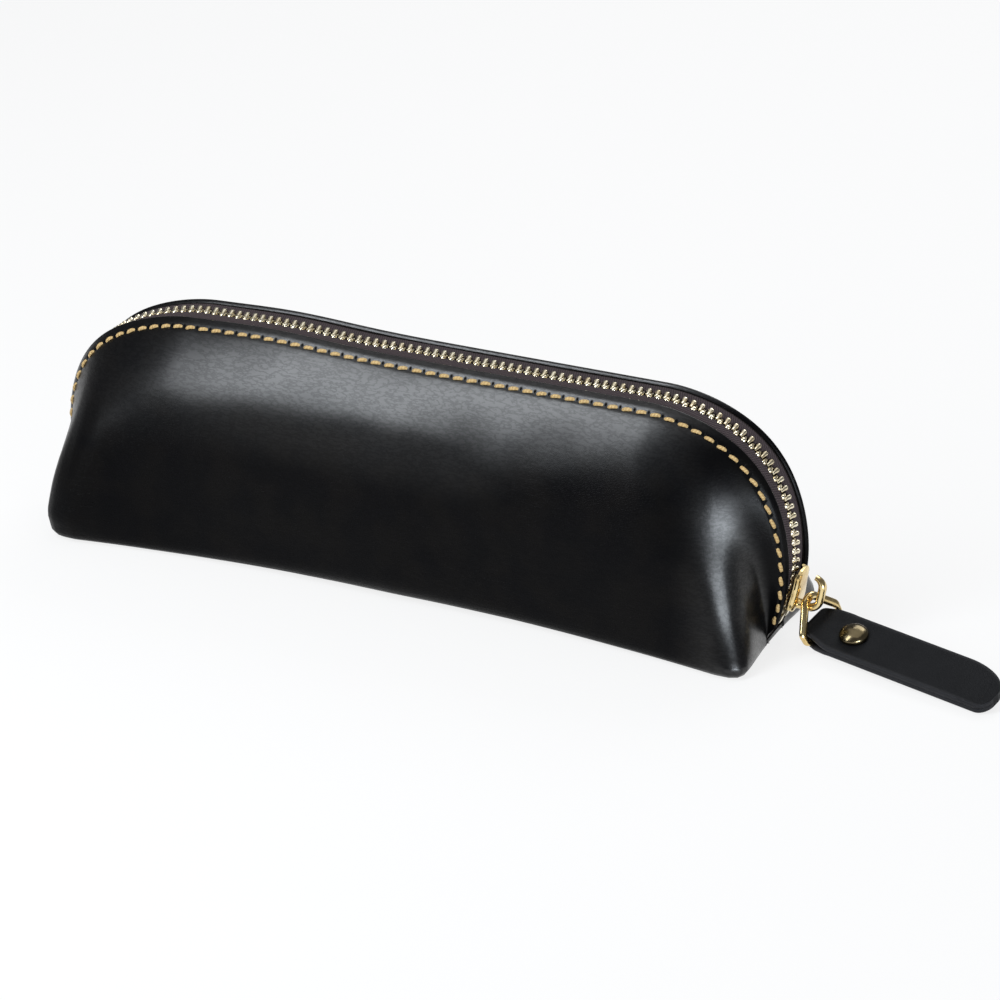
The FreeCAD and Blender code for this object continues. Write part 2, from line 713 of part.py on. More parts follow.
def make_ring():
    """A wire bent to a rounded triangle: its bar carries the strap and its top hangs in the hook."""
    half = sizes.ring_bar / 2
    half_top = sizes.ring_top / 2
    corners = [
        V(0, -half, 0),
        V(0, half, 0),
        V(0, half, sizes.ring_upright),
        V(0, half_top, sizes.ring_height),
        V(0, -half_top, sizes.ring_height),
        V(0, -half, sizes.ring_upright),
    ]
    path = rounded_loop(corners, [sizes.ring_corner] * 2 + [sizes.ring_bend] * 4)
    start = path.Edges[1].Vertexes[0].Point
    section = Part.Wire(Part.makeCircle(sizes.wire / 2, start, V(0, 1, 0)))
    spine = Part.Wire(path.Edges[1:] + path.Edges[:1])
    ring = new_feature("pull_ring", spine.makePipeShell([section], True, True))
    ring.Placement = ring_frame()


def make_strap():
    """A strip of leather folded round the ring's bar, its two layers glued and riveted."""
    body = new_body("pull_strap")
    thick = "sizes.strap_layer"
    eye = f"({STRAP_EYE_RADIUS} + {thick})"
    side = new_sketch(body, "XZ_Plane")
    draw_outline(side, [
        ("0", eye),
        ("sizes.strap_eye", thick),
        ("sizes.strap_length", thick),
        ("sizes.strap_length", f"-{thick}"),
        ("sizes.strap_eye", f"-{thick}"),
        ("0", f"-{eye}"),
    ])
    add_pad(body, side, "sizes.strap_width", symmetric=True)
    fold = new_sketch(body, "XZ_Plane")
    draw_circle(fold, "0", "0", eye)
    add_pad(body, fold, "sizes.strap_width", symmetric=True)
    hollow = new_sketch(body, "XZ_Plane")
    draw_circle(hollow, "0", "0", STRAP_EYE_RADIUS)
    add_pad(body, hollow, "2 * sizes.strap_width", symmetric=True, kind="Pocket")
    closing = new_sketch(body, "XZ_Plane")
    draw_outline(closing, [
        ("0", STRAP_EYE_RADIUS),
        ("sizes.strap_eye", "0"),
        ("0", f"-{STRAP_EYE_RADIUS}"),
    ])
    add_pad(body, closing, "2 * sizes.strap_width", symmetric=True, kind="Pocket")
    taper = new_sketch(body, "XY_Plane")
    for sign in ("", "-"):
        draw_outline(taper, [
            (f"-{eye}", f"{sign}sizes.strap_neck / 2"),
            ("0", f"{sign}sizes.strap_neck / 2"),
            ("sizes.strap_taper", f"{sign}sizes.strap_width / 2"),
            (f"-{eye}", f"{sign}sizes.strap_width / 2"),
        ])
    add_pad(body, taper, f"2 * {eye}", symmetric=True, kind="Pocket")
    hole = new_sketch(body, "XY_Plane")
    draw_circle(hole, "sizes.rivet_place", "0", "sizes.rivet_shank / 2 + sizes.rivet_fit")
    add_pad(body, hole, f"2 * {eye}", symmetric=True, kind="Pocket")
    tip = V(sizes.strap_length, sizes.strap_width / 2, 0)
    round_edges(body, "sizes.strap_tip", lambda edge: is_tip_corner(edge, tip))
    body.Placement = strap_frame()


def is_tip_corner(edge, tip):
    middle = edge.CenterOfMass
    at_end = abs(middle.x - tip.x) < 1e-6 and abs(abs(middle.y) - tip.y) < 1e-6
    return at_end and edge.BoundBox.ZLength > 1e-6


def make_rivet():
    """A domed cap whose shank passes the strap, and the flat back that it is set into."""
    face = "(sizes.strap_layer + sizes.rivet_fit)"
    place = strap_frame()
    place = place.multiply(FreeCAD.Placement(V(sizes.rivet_place, 0, 0), FreeCAD.Rotation()))
    cap = new_body("rivet_cap")
    head = "sizes.rivet_head / 2"
    shank = "sizes.rivet_shank / 2"
    profile = new_sketch(cap, "XZ_Plane")
    draw_outline(profile, [
        ("0", f"-{face}"),
        (shank, f"-{face}"),
        (shank, face),
        (head, face),
        (head, f"{face} + sizes.rivet_rim"),
        ("0", f"{face} + sizes.rivet_dome"),
    ], domed=4)
    revolve(cap, profile)
    cap.Placement = place
    back = new_body("rivet_back")
    profile = new_sketch(back, "XZ_Plane")
    draw_outline(profile, [
        ("0", f"-{face}"),
        ("sizes.rivet_back / 2", f"-{face}"),
        ("sizes.rivet_back / 2", f"-{face} - sizes.rivet_rim"),
        ("sizes.rivet_back / 2 - sizes.rivet_rim", f"-{face} - 2 * sizes.rivet_rim"),
        ("0", f"-{face} - 2 * sizes.rivet_rim"),
    ])
    revolve(back, profile)
    back.Placement = place


def revolve(body, sketch):
    turned = body.newObject("PartDesign::Revolution", f"{body.Name}_turned")
    turned.Profile = sketch
    turned.ReferenceAxis = (sketch, ["V_Axis"])
    turned.Angle = 360
    doc.recompute()


def make_stitching():
    """One row of slanted stitches beside the zip on each side."""
    seam_end = arch_length(sizes.stitch_foot, sizes.arch_radius)
    count = int(2 * seam_end / sizes.stitch_pitch)
    corner = V(-sizes.stitch_length / 2, -sizes.stitch_width / 2, sizes.stitch_gap)
    stitch = Part.makeBox(sizes.stitch_length, sizes.stitch_width, sizes.stitch_height, corner)
    slant = FreeCAD.Placement(V(0, 0, 0), FreeCAD.Rotation(UP, sizes.stitch_slant))
    row = []
    for i in range(count + 1):
        distance = (i - count / 2) * sizes.stitch_pitch
        low = front_leather(distance, FOLD_START)
        span = (front_leather(distance, 0) - low).Length
        share = FOLD_START * sizes.stitch_inset / (3 * sizes.lip_pull * span)
        origin = front_leather(distance, share)
        outward = front_normal(distance, share)
        ahead = front_leather(distance + sizes.stitch_width, share) - origin
        along = (ahead - outward * ahead.dot(outward)).normalize()
        copy = stitch.copy()
        copy.Placement = frame(origin, along, outward).multiply(slant)
        row.append(copy)
    front = Part.makeCompound(row)
    new_feature("front_stitching", front)
    new_feature("back_stitching", front.mirror(V(0, 0, 0), V(0, 1, 0)))


make_base()
make_leather()
make_tape("front_tape", "-")
make_tape("back_tape", "")
make_teeth()
make_stops()
make_slider()
make_crown()
make_ring()
make_strap()
make_rivet()
make_stitching()
doc.recompute()

for item in doc.Objects:
    if "Invalid" in item.State or "Error" in item.State:
        raise RuntimeError(f"{item.Name} did not build: {item.State}")
pieces = [o for o in doc.Objects if o.TypeId in ("PartDesign::Body", "Part::Feature")]
for piece in pieces:
    if piece.Shape.isNull() or not piece.Shape.isValid():
        raise RuntimeError(f"{piece.Label} is not a valid shape")
os.makedirs("parts", exist_ok=True)
for piece in pieces:
    piece.Shape.exportStep(f"parts/{piece.Label}.step")
    print(piece.Label, len(piece.Shape.Solids), round(piece.Shape.Volume, 2))
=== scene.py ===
"""Zipped leather pen case: black leather body, brass zip, tan stitching and a riveted leather pull.

Metres, +Z up. The origin is the middle of the flat base, +X points to the slider and -Y is the front.
"""

import json
from math import acos, asin, atan2, copysign, cos, pi, radians, sin, sqrt, tan

import bpy
import numpy as np
from mathutils import Matrix, Vector, noise


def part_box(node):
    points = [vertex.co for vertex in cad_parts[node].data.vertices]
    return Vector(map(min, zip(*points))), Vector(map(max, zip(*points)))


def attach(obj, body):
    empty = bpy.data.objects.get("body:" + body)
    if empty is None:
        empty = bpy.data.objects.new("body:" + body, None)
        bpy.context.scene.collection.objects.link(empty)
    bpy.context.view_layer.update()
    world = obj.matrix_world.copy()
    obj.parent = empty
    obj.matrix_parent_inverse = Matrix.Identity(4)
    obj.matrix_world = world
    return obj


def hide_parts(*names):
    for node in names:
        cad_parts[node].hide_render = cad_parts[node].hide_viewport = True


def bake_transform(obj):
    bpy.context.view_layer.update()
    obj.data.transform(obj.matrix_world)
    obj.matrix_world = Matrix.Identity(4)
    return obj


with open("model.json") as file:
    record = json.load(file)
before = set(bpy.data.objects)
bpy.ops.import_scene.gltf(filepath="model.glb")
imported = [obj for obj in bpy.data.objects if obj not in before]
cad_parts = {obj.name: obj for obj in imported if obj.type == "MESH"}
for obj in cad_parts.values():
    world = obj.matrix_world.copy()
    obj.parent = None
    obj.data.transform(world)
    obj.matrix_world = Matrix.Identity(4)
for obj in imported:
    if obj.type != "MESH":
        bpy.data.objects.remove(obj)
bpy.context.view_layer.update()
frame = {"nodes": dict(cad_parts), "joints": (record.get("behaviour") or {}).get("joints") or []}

MM = 0.001
ALONG = Vector((1, 0, 0))
ASIDE = Vector((0, 1, 0))
UP = Vector((0, 0, 1))
QUARTER = pi / 2
CIRCLE = 2 * pi
joints = {joint["name"]: joint for joint in frame["joints"]}

# Camera, worked out from the case's corners
VIEW_AZIMUTH = radians(25.06)
VIEW_ELEVATION = radians(25)
VIEW_PLACE = Vector((376.6, -760.4, 414.6)) * MM
VIEW_LENS = 128.16
SENSOR = 36
CLIP_START = 50 * MM

# Floor and sky
FLOOR_REACH = 6
FLOOR_LEVEL = -0.05 * MM
FLOOR_GREY = (0.86, 0.86, 0.86, 1)
FLOOR_PALE = (0.88, 0.88, 0.88, 1)
FLOOR_GLOW = 0.8
SKY = (0.93, 0.95, 1.0, 1)
SKY_STRENGTH = 0.16

# Lamps: name, place, target, size, power, colour and roll in degrees
LAMPS = (
    ("key_lamp", (-0.315, -0.498, 0.562), (-0.015, -0.02, 0.05), (0.175, 0.78), 5.8, (0.91, 0.955, 1.0), 5),
    ("side_lamp", (0.79, -0.615, 0.1), (0.09, -0.02, 0.03), (0.46, 0.17), 6.0, (0.86, 0.93, 1.0), 0),
    ("top_lamp", (0, 0.15, 1.0), (0, 0, 0), (1.2, 1.2), 3.0, (1.0, 1.0, 1.0), 0),
    ("back_lamp", (0.1, 0.75, 0.7), (0, 0.02, 0.04), (0.6, 0.4), 3.0, (0.95, 0.97, 1.0), 0),
)

# Leather body
LEATHER = 1.5 * MM
SEAM_GAP = 0.3 * MM
BASE_CORNER = 1.6 * MM
BASE_CHAMFER = 0.35 * MM
BASE_INSIDE = 0.5 * MM
BASE_EASE = 0.02 * MM
END_TAB = 1.6 * MM
TAB_SHOWN = 0.7 * MM
BASE_LENGTH = 2 * (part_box("base_panel")[1].x - END_TAB)
BASE_WIDTH = 50 * MM
BASE_WAIST = 34 * MM
BASE_EAR = 5 * MM
FRONT_FOLD = 6.6 * MM
CORNER_FOLD = 2.4 * MM
END_FOLD = 0.6 * MM
LIP_ANGLE = radians(30)
BACK_LIP_ANGLE = radians(40)
LIP_PULL = 0.28
SIDE_PULL = 0.45
END_PULL = 0.42
ZIP_GAP = 12 * MM
arc_centre = Vector(joints["slider_travel"]["pos_m"])
HALF_RUN = arc_centre.x
ARCH_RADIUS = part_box("front_panel")[1].z - arc_centre.z
ARCH_FOOT = 2.4 * MM
FULLNESS = 2.7 * MM
FULL_PLACE = radians(52)
FULL_SPREAD = radians(26)
HUMP = 1.25 * MM
HUMP_PLACE = -42 * MM
HUMP_SPREAD = 22 * MM
NEAR_FULLNESS = 1.5 * MM
NEAR_FULL_PLACE = radians(48)
FAR_EAR = 3.0 * MM
FAR_EAR_REACH = 13 * MM
FAR_EAR_LOW = 7 * MM
FAR_EAR_HIGH = 31 * MM
RIDGE_LEAN = 3.3
FAR_RIDGE_LEAN = 1.8
SOFT_REACH = 28 * MM
FAR_SOFT_REACH = 9 * MM
END_CUT = 4.5 * MM
LIP_HOLD = 0.5
FAR_LIP_HOLD = 0.75
FAR_LIP_TURN = radians(9)
LIP_TRIM = 1.4 * MM
LIP_TRIM_SHARE = 0.1
LIP_REACH = 9 * MM
LIP_SHARE = 0.4
LIP_ROUNDING = 0.45 * MM
RIM_ANGLES = np.radians([-60, -25, 10, 45, 75])

# Rows of points down the lip, closest together at the stitches, and down the rest of a side
LIP_ROWS = np.array([0, 0.4, 0.9, 1.5, 2.2, 2.8, 3.3, 3.7, 4.0, 4.3, 4.6, 5.0, 5.5, 6.4, 7.6]) * MM
SIDE_ROWS = np.linspace(0, 1, 36)

# Unevenness of the hide
GROOVE_DEPTH = 0.22 * MM
GROOVE_WIDTH = 0.7 * MM
PUCKER = 0.25
PUFF = 0.12 * MM
PUFF_PLACE = 2.9 * MM
PUFF_WIDTH = 0.8 * MM
SWELL = 0.55 * MM
SWELL_START = 5 * MM
SWELL_RISE = 9 * MM
SWELL_FALL = 14 * MM
BROAD_SWELL = (26, 40)
FINE_SWELL = (70, 95)
FINE_SHARE = 0.4

# Zip
TAPE = 0.6 * MM
CHAIN_DROP = 0.6 * MM
CHAIN_RADIUS = ARCH_RADIUS - LEATHER * cos(LIP_ANGLE) - CHAIN_DROP
TAPE_STEP = 1.2 * MM
TAPE_FOOT = 2.2 * MM
TAPE_CUT = 22 * MM
TAPE_END = 5.4 * MM
TAPE_UNDER = 3.4 * MM
TAPE_SLANT = 0.1 * MM
TAPE_SAG = 0.1
TOOTH_PITCH = 2.4 * MM
ROW_PARTING = 1.4 * MM
CHAIN_OVER = 1.0 * MM
SLIDER_HEIGHT = 15.7 * MM
SLIDER_LENGTH = 11.4 * MM
WEDGE_LENGTH = 4.4 * MM

# Corded edge of the tape: place across it, and thickness against the flat part
TAPE_CORD = ((1.5 * MM, 0.0), (1.7 * MM, 1.3), (2.4 * MM, 1.5), (3.0 * MM, 1.0))

# One tooth from its shoulder to its nose: place across the zip, half width and half height in millimetres
TOOTH_SHAPE = (
    (-2.35, 0.25, 0.35),
    (-2.25, 0.5, 0.7),
    (-2.0, 0.63, 0.92),
    (-1.6, 0.68, 1.02),
    (-1.2, 0.66, 0.96),
    (-0.85, 0.56, 0.66),
    (-0.3, 0.44, 0.4),
    (0.4, 0.42, 0.38),
    (0.7, 0.3, 0.3),
    (0.8, 0.1, 0.12),
)

# Sideways wander of the zip: length, sway and start of two waves, and where they die away
WAVES = ((11 * MM, 0.45 * MM, 1), (5.1 * MM, 0.2 * MM, 2))
WAVE_STOP = 10 * MM
WAVE_FADE = 30 * MM
WAVE_EDGE = 6.5 * MM
WAVE_EDGE_FADE = 2.5 * MM

# Stitching
STITCH_INSET = 4.4 * MM
STITCH_PITCH = 3.9 * MM
STITCH_LENGTH = 2.65 * MM
STITCH_RADIUS = 0.5 * MM
STITCH_SLANT = radians(10)
STITCH_FOOT = 10.9 * MM
STITCH_RISE = 0.5 * MM
STITCH_SINK = 0.38 * MM
STITCH_CURVE = 0.55
STITCH_NECK = 0.72
STITCH_WANDER = 0.05
WANDER_STEP = 2.4
STATIONS_PER_STITCH = 3
HOLE_RIM = (0.2 * MM, 0.6 * MM)
HOLE_LIFT = 0.35 * MM
HOLE_STRETCH = 0.6

# Ring and strap
WIRE = 1.4 * MM
RING_BAR = 14.6 * MM
RING_HEIGHT = 9.3 * MM
RING_CORNER = 1.0 * MM
RING_UPRIGHT = 2.6 * MM
RING_TOP = 3.0 * MM
RING_BEND = 2.4 * MM
RING_LEAN = radians(22)
RING_DEPTH = 1.15
RING_FLAT = 0.6
STRAP_DIP = radians(1.5)
STRAP_LENGTH = 52.5 * MM
STRAP_WIDTH = 14.5 * MM
STRAP_NECK = 12.4 * MM
STRAP_TAPER = 5.5 * MM
STRAP_LAYER = 1.35 * MM
STRAP_CORNER = 0.42 * MM
STRAP_SLACK = 2.0 * MM
FOLD_TAPER = 0.5
NEAR_TIP = 3.2 * MM
NEAR_TIP_CUT = 4.2 * MM
FAR_TIP = 13 * MM
FAR_TIP_CUT = 8 * MM
STRAP_EYE = 6.5 * MM
EYE_ROOM = 0.3 * MM
STRAP_WAVE = 0.1 * MM
STRAP_WAVES = (90, 90, 200)
STRAP_WAVE_START = 3

# Rivet, with shares of a radius and heights from the strap's face in millimetres
RIVET_PLACE = 9.4 * MM
RIVET_HEAD = 7.6 * MM
RIVET_DOME = 2.5 * MM
RIVET_RIM = 0.55 * MM
RIVET_CROWN = 0.08 * MM
RIVET_BACK = 6.4 * MM
CAP_FOOT = ((0.3, -0.3), (0.93, -0.02), (0.985, 0.12))
DISC_FACE = ((0.0, -0.85), (0.35, -0.72), (0.45, -0.82), (0.9, -0.8))
DISC_RIM = ((1.0, -0.5), (1.0, -0.15), (0.93, 0.02), (0.3, 0.3))
AXIS_GAP = 0.02 * MM

# Slider; its plates have heights in millimetres, and the share of the outline at each
PLATE_LEVELS = ((0.0, 0.96), (0.15, 1.0), (0.75, 1.0), (1.05, 0.93), (1.25, 0.72), (1.35, 0.4), (1.38, 0.05))
PLATE_SEAT = 2.0 * MM
PLATE_NARROW = 3.7 * MM
PLATE_SPREAD = 0.9 * MM
SPREAD_START = -0.3
SPREAD_REACH = 0.9
PLATE_ROUNDING = 2.2 * MM
FLANGE_RUN = 0.9
FLANGE_INSET = 0.42 * MM
FLANGE_DROP = 0.3 * MM
FLANGE_HALF_HEIGHT = 0.62 * MM
FLANGE_HALF_THICK = 0.36 * MM
WEDGE_LEVELS = (-2.6 * MM, -1 * MM, 1 * MM, 2.6 * MM)
WEDGE_PLACE = 0.55
WEDGE_SHOWN = 0.8
WEDGE_HALF_THICK = 0.42 * MM

# Slider hook
HOOK_LEVELS = (2.6 * MM, 3.4 * MM, 4.2 * MM, 5.0 * MM)
HOOK_TOP = 8.35 * MM
HOOK_ROOT = 4.35 * MM
HOOK_BEND = 2.7 * MM
HOOK_TIP_BEND = 2.6 * MM
HOOK_TIP_TURN = radians(84)
HOOK_HALF_WIDTH = 1.3 * MM
HOOK_HALF_THICK = 1.0 * MM
HOOK_TAPER = 0.35
HOOK_TAPER_START = 0.6
HOOK_FOOT = 0.45
HOOK_FOOT_POINTS = 3

# Colours
COOL_BLACK = (0.0015, 0.0015, 0.0019, 1)
WARM_BLACK = (0.0028, 0.0025, 0.0025, 1)
HOLE_SHADE_BLACK = (0.002, 0.002, 0.002, 1)
SUEDE_DARK = (0.035, 0.028, 0.024, 1)
SUEDE_PALE = (0.06, 0.05, 0.043, 1)
STRAP_DARK = (0.0032, 0.0036, 0.0046, 1)
STRAP_PALE = (0.0046, 0.005, 0.0061, 1)
STRAP_EDGE_HIGHLIGHT = (0.02, 0.02, 0.022, 1)
TAPE_DARK = (0.014, 0.01, 0.011, 1)
TAPE_PALE = (0.085, 0.062, 0.066, 1)
TAN = (0.55, 0.39, 0.15, 1)
TAN_PALE = (0.72, 0.55, 0.26, 1)
PLY_GROOVE_SHADE = (0.36, 0.2, 0.075, 1)
TOOTH_PALE = (0.9, 0.83, 0.64, 1)
TOOTH_DEEP = (0.74, 0.62, 0.4, 1)
GOLD_PALE = (0.86, 0.69, 0.36, 1)
GOLD_DEEP = (0.62, 0.43, 0.17, 1)
ANTIQUE_PALE = (0.2, 0.16, 0.09, 1)
ANTIQUE_DEEP = (0.075, 0.06, 0.034, 1)

# Ranges over which a pattern or a distance takes effect
GRAIN_GAP = (0.0, 0.25)
CRACKLE_LINE = (0.0, 0.09)
CREASE_LINE = (0.0, 0.035)
CREASE_ZONE = (0.5, 0.68)
PATCH_ZONE = (0.35, 0.65)
STRAP_PATCH_ZONE = (0.3, 0.7)
BURNISHED_HIGHLIGHT_EDGE = (0.82, 0.96)
TARNISH_ZONE = (0.35, 0.75)
INSIDE_FACE = (0.2 * MM, -0.2 * MM)

# Place across the hide of the lip's rim, the inside and the base, which choose their polish and colour
RIM_PLACE = 0.4 * MM
INSIDE_PLACE = 1 * MM
BASE_PLACE = 20 * MM

# Polish of the hide: high beside the zip, lower down the sides and at the far end, high on the near corners
POLISH = 0.97
POLISH_LOSS = 0.9
POLISH_REACH = 15 * MM
POLISH_SHRINK = 13 * MM
POLISH_SHRINK_ZONE = (15 * MM, 60 * MM)
POLISH_FADE = 24 * MM
FAR_LOSS = 0.45
FAR_ZONE = (-46 * MM, -72 * MM)
CORNER_ZONE = (HALF_RUN + 8 * MM, HALF_RUN + 24 * MM)
CORNER_LOW = 0.1
CORNER_GAIN = 0.87
CORNER_RISE = (10 * MM, 26 * MM)

# Weave of the tape and twist of the thread
RIB_PITCH = 0.62 * MM
RIB_SLANT = 0.35
CORD_PITCH = 0.85 * MM
RIB_SHARE = 0.7
FUZZ_SHARE = 0.25
FUZZ_RISE = 0.3
PLY_TURNS = 3
PLY_LOW = 0.3
PLY_SHARE = 0.45


def smooth(share):
    """0 below 0, 1 above 1, and a smooth step between them."""
    share = max(0, min(1, share))
    return share * share * (3 - 2 * share)


def bell(offset, spread):
    """1 in the middle of a bulge, falling away to 0 beyond its spread."""
    return np.exp(-((offset / spread) ** 2))


def arch_length(height, radius):
    """Distance along the arch from its top middle to where it comes down to a height."""
    return HALF_RUN + radius * acos((height - arc_centre.z) / radius)


EDGE_END = arch_length(ARCH_FOOT, ARCH_RADIUS)
SEAM_END = arch_length(STITCH_FOOT, ARCH_RADIUS)
STITCH_COUNT = int(2 * SEAM_END / STITCH_PITCH)


def arch(distance, radius):
    """Point, direction and outward normal on the zip's arch, at a distance from its top middle.

    The leather stands a little fuller round both arcs, and in a slight hump on the straight run.
    """
    turned = max(abs(distance) - HALF_RUN, 0) / radius
    side = copysign(1, distance)
    outward = Vector((side * sin(turned), 0, cos(turned)))
    along = Vector((cos(turned), 0, -side * sin(turned)))
    centre = Vector((max(-HALF_RUN, min(HALF_RUN, distance)), 0, arc_centre.z))
    fuller = HUMP * bell(distance - HUMP_PLACE, HUMP_SPREAD)
    if distance < 0:
        fuller += FULLNESS * bell(turned - FULL_PLACE, FULL_SPREAD)
    else:
        fuller += NEAR_FULLNESS * bell(turned - NEAR_FULL_PLACE, FULL_SPREAD)
    return centre + outward * (radius + fuller), along, outward


def base_edge_lengths():
    """Distances of the corner's start, the corner's end and the zip's edge along the base edge."""
    radius = BASE_CORNER + SEAM_GAP
    start = BASE_LENGTH / 2 + SEAM_GAP - radius
    end = start + radius * QUARTER
    return start, end, end + BASE_WIDTH / 2 + SEAM_GAP - radius - ZIP_GAP / 2


def base_edge(distance):
    """Point and outward direction where the front leaves the base, from its middle round the right corner."""
    start, end, _ = base_edge_lengths()
    half_width = BASE_WIDTH / 2 + SEAM_GAP
    half_waist = BASE_WAIST / 2 + SEAM_GAP
    radius = BASE_CORNER + SEAM_GAP
    if distance <= start:
        flare = half_width - half_waist
        reach = BASE_LENGTH / 2 - BASE_EAR
        hollow = (reach**2 + flare**2) / (2 * flare)
        wider = hollow - sqrt(hollow**2 - min(distance, reach) ** 2)
        return Vector((distance, -half_waist - wider, 0)), -ASIDE
    if distance <= end:
        turned = (distance - start) / radius
        outward = Vector((sin(turned), -cos(turned), 0))
        return Vector((start, radius - half_width, 0)) + outward * radius, outward
    return Vector((start + radius, radius - half_width + distance - end, 0)), ALONG


def fold_radius(distance):
    """Radius of the fold between the base and a side, at a distance along the base edge."""
    start, end, last = base_edge_lengths()
    if distance <= start:
        return FRONT_FOLD + (CORNER_FOLD - FRONT_FOLD) * distance / start
    return CORNER_FOLD + (END_FOLD - CORNER_FOLD) * smooth((distance - end) / (last - end))


def soft_edge(distance, reach):
    """A rounder copy of the base edge at the top of the fold, which the sides rise towards."""
    steps = 10
    total = Vector()
    for i in range(-steps, steps + 1):
        foot, out = base_edge(max(distance + reach * i / steps, 0))
        total += foot + out * fold_radius(distance)
    return total / (2 * steps + 1)


def section(distance, lip_angle):
    """Closely spaced points down a side's outer face, from the zip's edge to the base, as for the front."""
    corner, _, last = base_edge_lengths()
    origin, _, outward = arch(distance, ARCH_RADIUS)
    outward.x = abs(outward.x)
    edge = Vector((abs(origin.x), -ZIP_GAP / 2, origin.z))
    passed = abs(distance)
    along_arc = max(passed - HALF_RUN, 0) / (EDGE_END - HALF_RUN)
    lean, hold, turn = FAR_RIDGE_LEAN, FAR_LIP_HOLD, FAR_LIP_TURN
    if distance > 0:
        lean, hold, turn = RIDGE_LEAN, LIP_HOLD, 0
    lip = lip_angle + turn * smooth(along_arc / LIP_HOLD)
    lip *= 1 - smooth((along_arc - hold) / (1 - hold))
    if along_arc > 0:
        passed = HALF_RUN + (last - HALF_RUN) * (1 - (1 - along_arc) ** lean)
    foot, out = base_edge(passed)
    radius = fold_radius(passed)
    reach = FAR_SOFT_REACH + (SOFT_REACH - FAR_SOFT_REACH) * smooth((distance / HALF_RUN + 1) / 2)
    levels = 5
    softer = [soft_edge(passed, reach * k / levels) + UP * radius for k in range(levels + 1)]
    span = (edge - softer[0]).length
    lip_end = edge - (ASIDE * cos(lip) + outward * sin(lip)) * span * LIP_PULL
    pull = SIDE_PULL + (END_PULL - SIDE_PULL) * smooth(along_arc)
    side_top = softer[-1] + UP * span * pull
    points = []
    side_steps = 60
    for i in range(side_steps):
        a = i / side_steps
        b = 1 - a
        level = min(int(b * levels), levels - 1)
        fold_top = softer[level].lerp(softer[level + 1], b * levels - level)
        points.append(edge * b**3 + lip_end * 3 * a * b**2 + side_top * 3 * a**2 * b + fold_top * a**3)
    fold_steps = 14
    for i in range(fold_steps + 1):
        turned = i / fold_steps * QUARTER
        points.append(foot + out * radius * cos(turned) + UP * radius * (1 - sin(turned)))
    line = np.array(points)
    if distance < 0:
        height = line[:, 2:]
        low = np.clip(height / FAR_EAR_LOW, 0, 1) * np.exp(-((height / FAR_EAR_HIGH) ** 4))
        line += np.array(out) * FAR_EAR * bell(passed - corner, FAR_EAR_REACH) * low
    line[:, 0] *= copysign(1, distance)
    return line


def path_lengths(line):
    """Distance of every point of a line from its first."""
    return np.concatenate([[0], np.cumsum(np.linalg.norm(np.diff(line, axis=0), axis=1))])


def at_places(line, places):
    """Points of a line at the given distances from its start."""
    lengths = path_lengths(line)
    return np.stack([np.interp(places, lengths, line[:, axis]) for axis in range(3)], axis=-1)


def axes_frame(origin, along, outward):
    """Frame with X along a line, Z out of a surface and Y across both."""
    turn = Matrix((along, outward.cross(along), outward)).transposed().to_4x4()
    return Matrix.Translation(origin) @ turn


def seam_frame(distance, inset, lip_angle):
    """Place on a side's outer face beside the zip: X along the seam, Z out of the leather."""
    step = 0.4 * MM
    over, here, under = at_places(section(distance, lip_angle), [inset - step, inset, inset + step])
    behind, ahead = (
        at_places(section(distance + shift, lip_angle), [inset])[0]
        for shift in (-step, step)
    )
    along = Vector(ahead - behind).normalized()
    outward = Vector(under - over).cross(along).normalized()
    return axes_frame(Vector(here), along, outward)


def new_piece(name, points, faces, material, uv=None, sharp=40, place=None):
    """An object with smooth faces, but for edges sharper than an angle in degrees."""
    if place is not None:
        points = [place @ point for point in points]
    mesh = bpy.data.meshes.new(name)
    mesh.from_pydata([tuple(point) for point in points], [], faces)
    mesh.polygons.foreach_set("use_smooth", [True] * len(mesh.polygons))
    if uv is not None:
        layer = mesh.uv_layers.new(name="seam")
        corners = np.zeros(len(mesh.loops), int)
        mesh.loops.foreach_get("vertex_index", corners)
        layer.data.foreach_set("uv", np.asarray(uv, float)[corners].ravel())
    mesh.set_sharp_from_angle(angle=radians(sharp))
    mesh.materials.append(material)
    piece = bpy.data.objects.new(name, mesh)
    bpy.context.scene.collection.objects.link(piece)
    return piece


def tube_faces(ring_count, ring_size, flipped=False, loop=False):
    """Faces of a tube through rings of points: a loop, or with a cap at both ends."""
    faces = []
    for i in range(ring_count if loop else ring_count - 1):
        for k in range(ring_size):
            low = i * ring_size
            high = (i + 1) % ring_count * ring_size
            after = (k + 1) % ring_size
            faces.append((low + k, low + after, high + after, high + k))
    if not loop:
        faces.append(tuple(reversed(range(ring_size))))
        start = (ring_count - 1) * ring_size
        faces.append(tuple(range(start, start + ring_size)))
    return [tuple(reversed(face)) for face in faces] if flipped else faces


def bar_points(path, aside, half_width, half_depth, steps=14, square=3.0, loop=False):
    """Points and faces of a rounded bar along a path, with a half width along aside and a half depth."""
    last = len(path) - 1
    half_widths = np.broadcast_to(half_width, len(path))
    half_depths = np.broadcast_to(half_depth, len(path))
    points = []
    for i, middle in enumerate(path):
        if loop:
            ahead = path[(i + 1) % len(path)] - path[i - 1]
        else:
            ahead = path[min(i + 1, last)] - path[max(i - 1, 0)]
        normal = ahead.cross(aside).normalized()
        for k in range(steps):
            turned = CIRCLE * k / steps
            across = copysign(abs(cos(turned)) ** (2 / square), cos(turned))
            lift = copysign(abs(sin(turned)) ** (2 / square), sin(turned))
            points.append(middle + aside * across * half_widths[i] + normal * lift * half_depths[i])
    return points, tube_faces(len(path), steps, loop=loop)


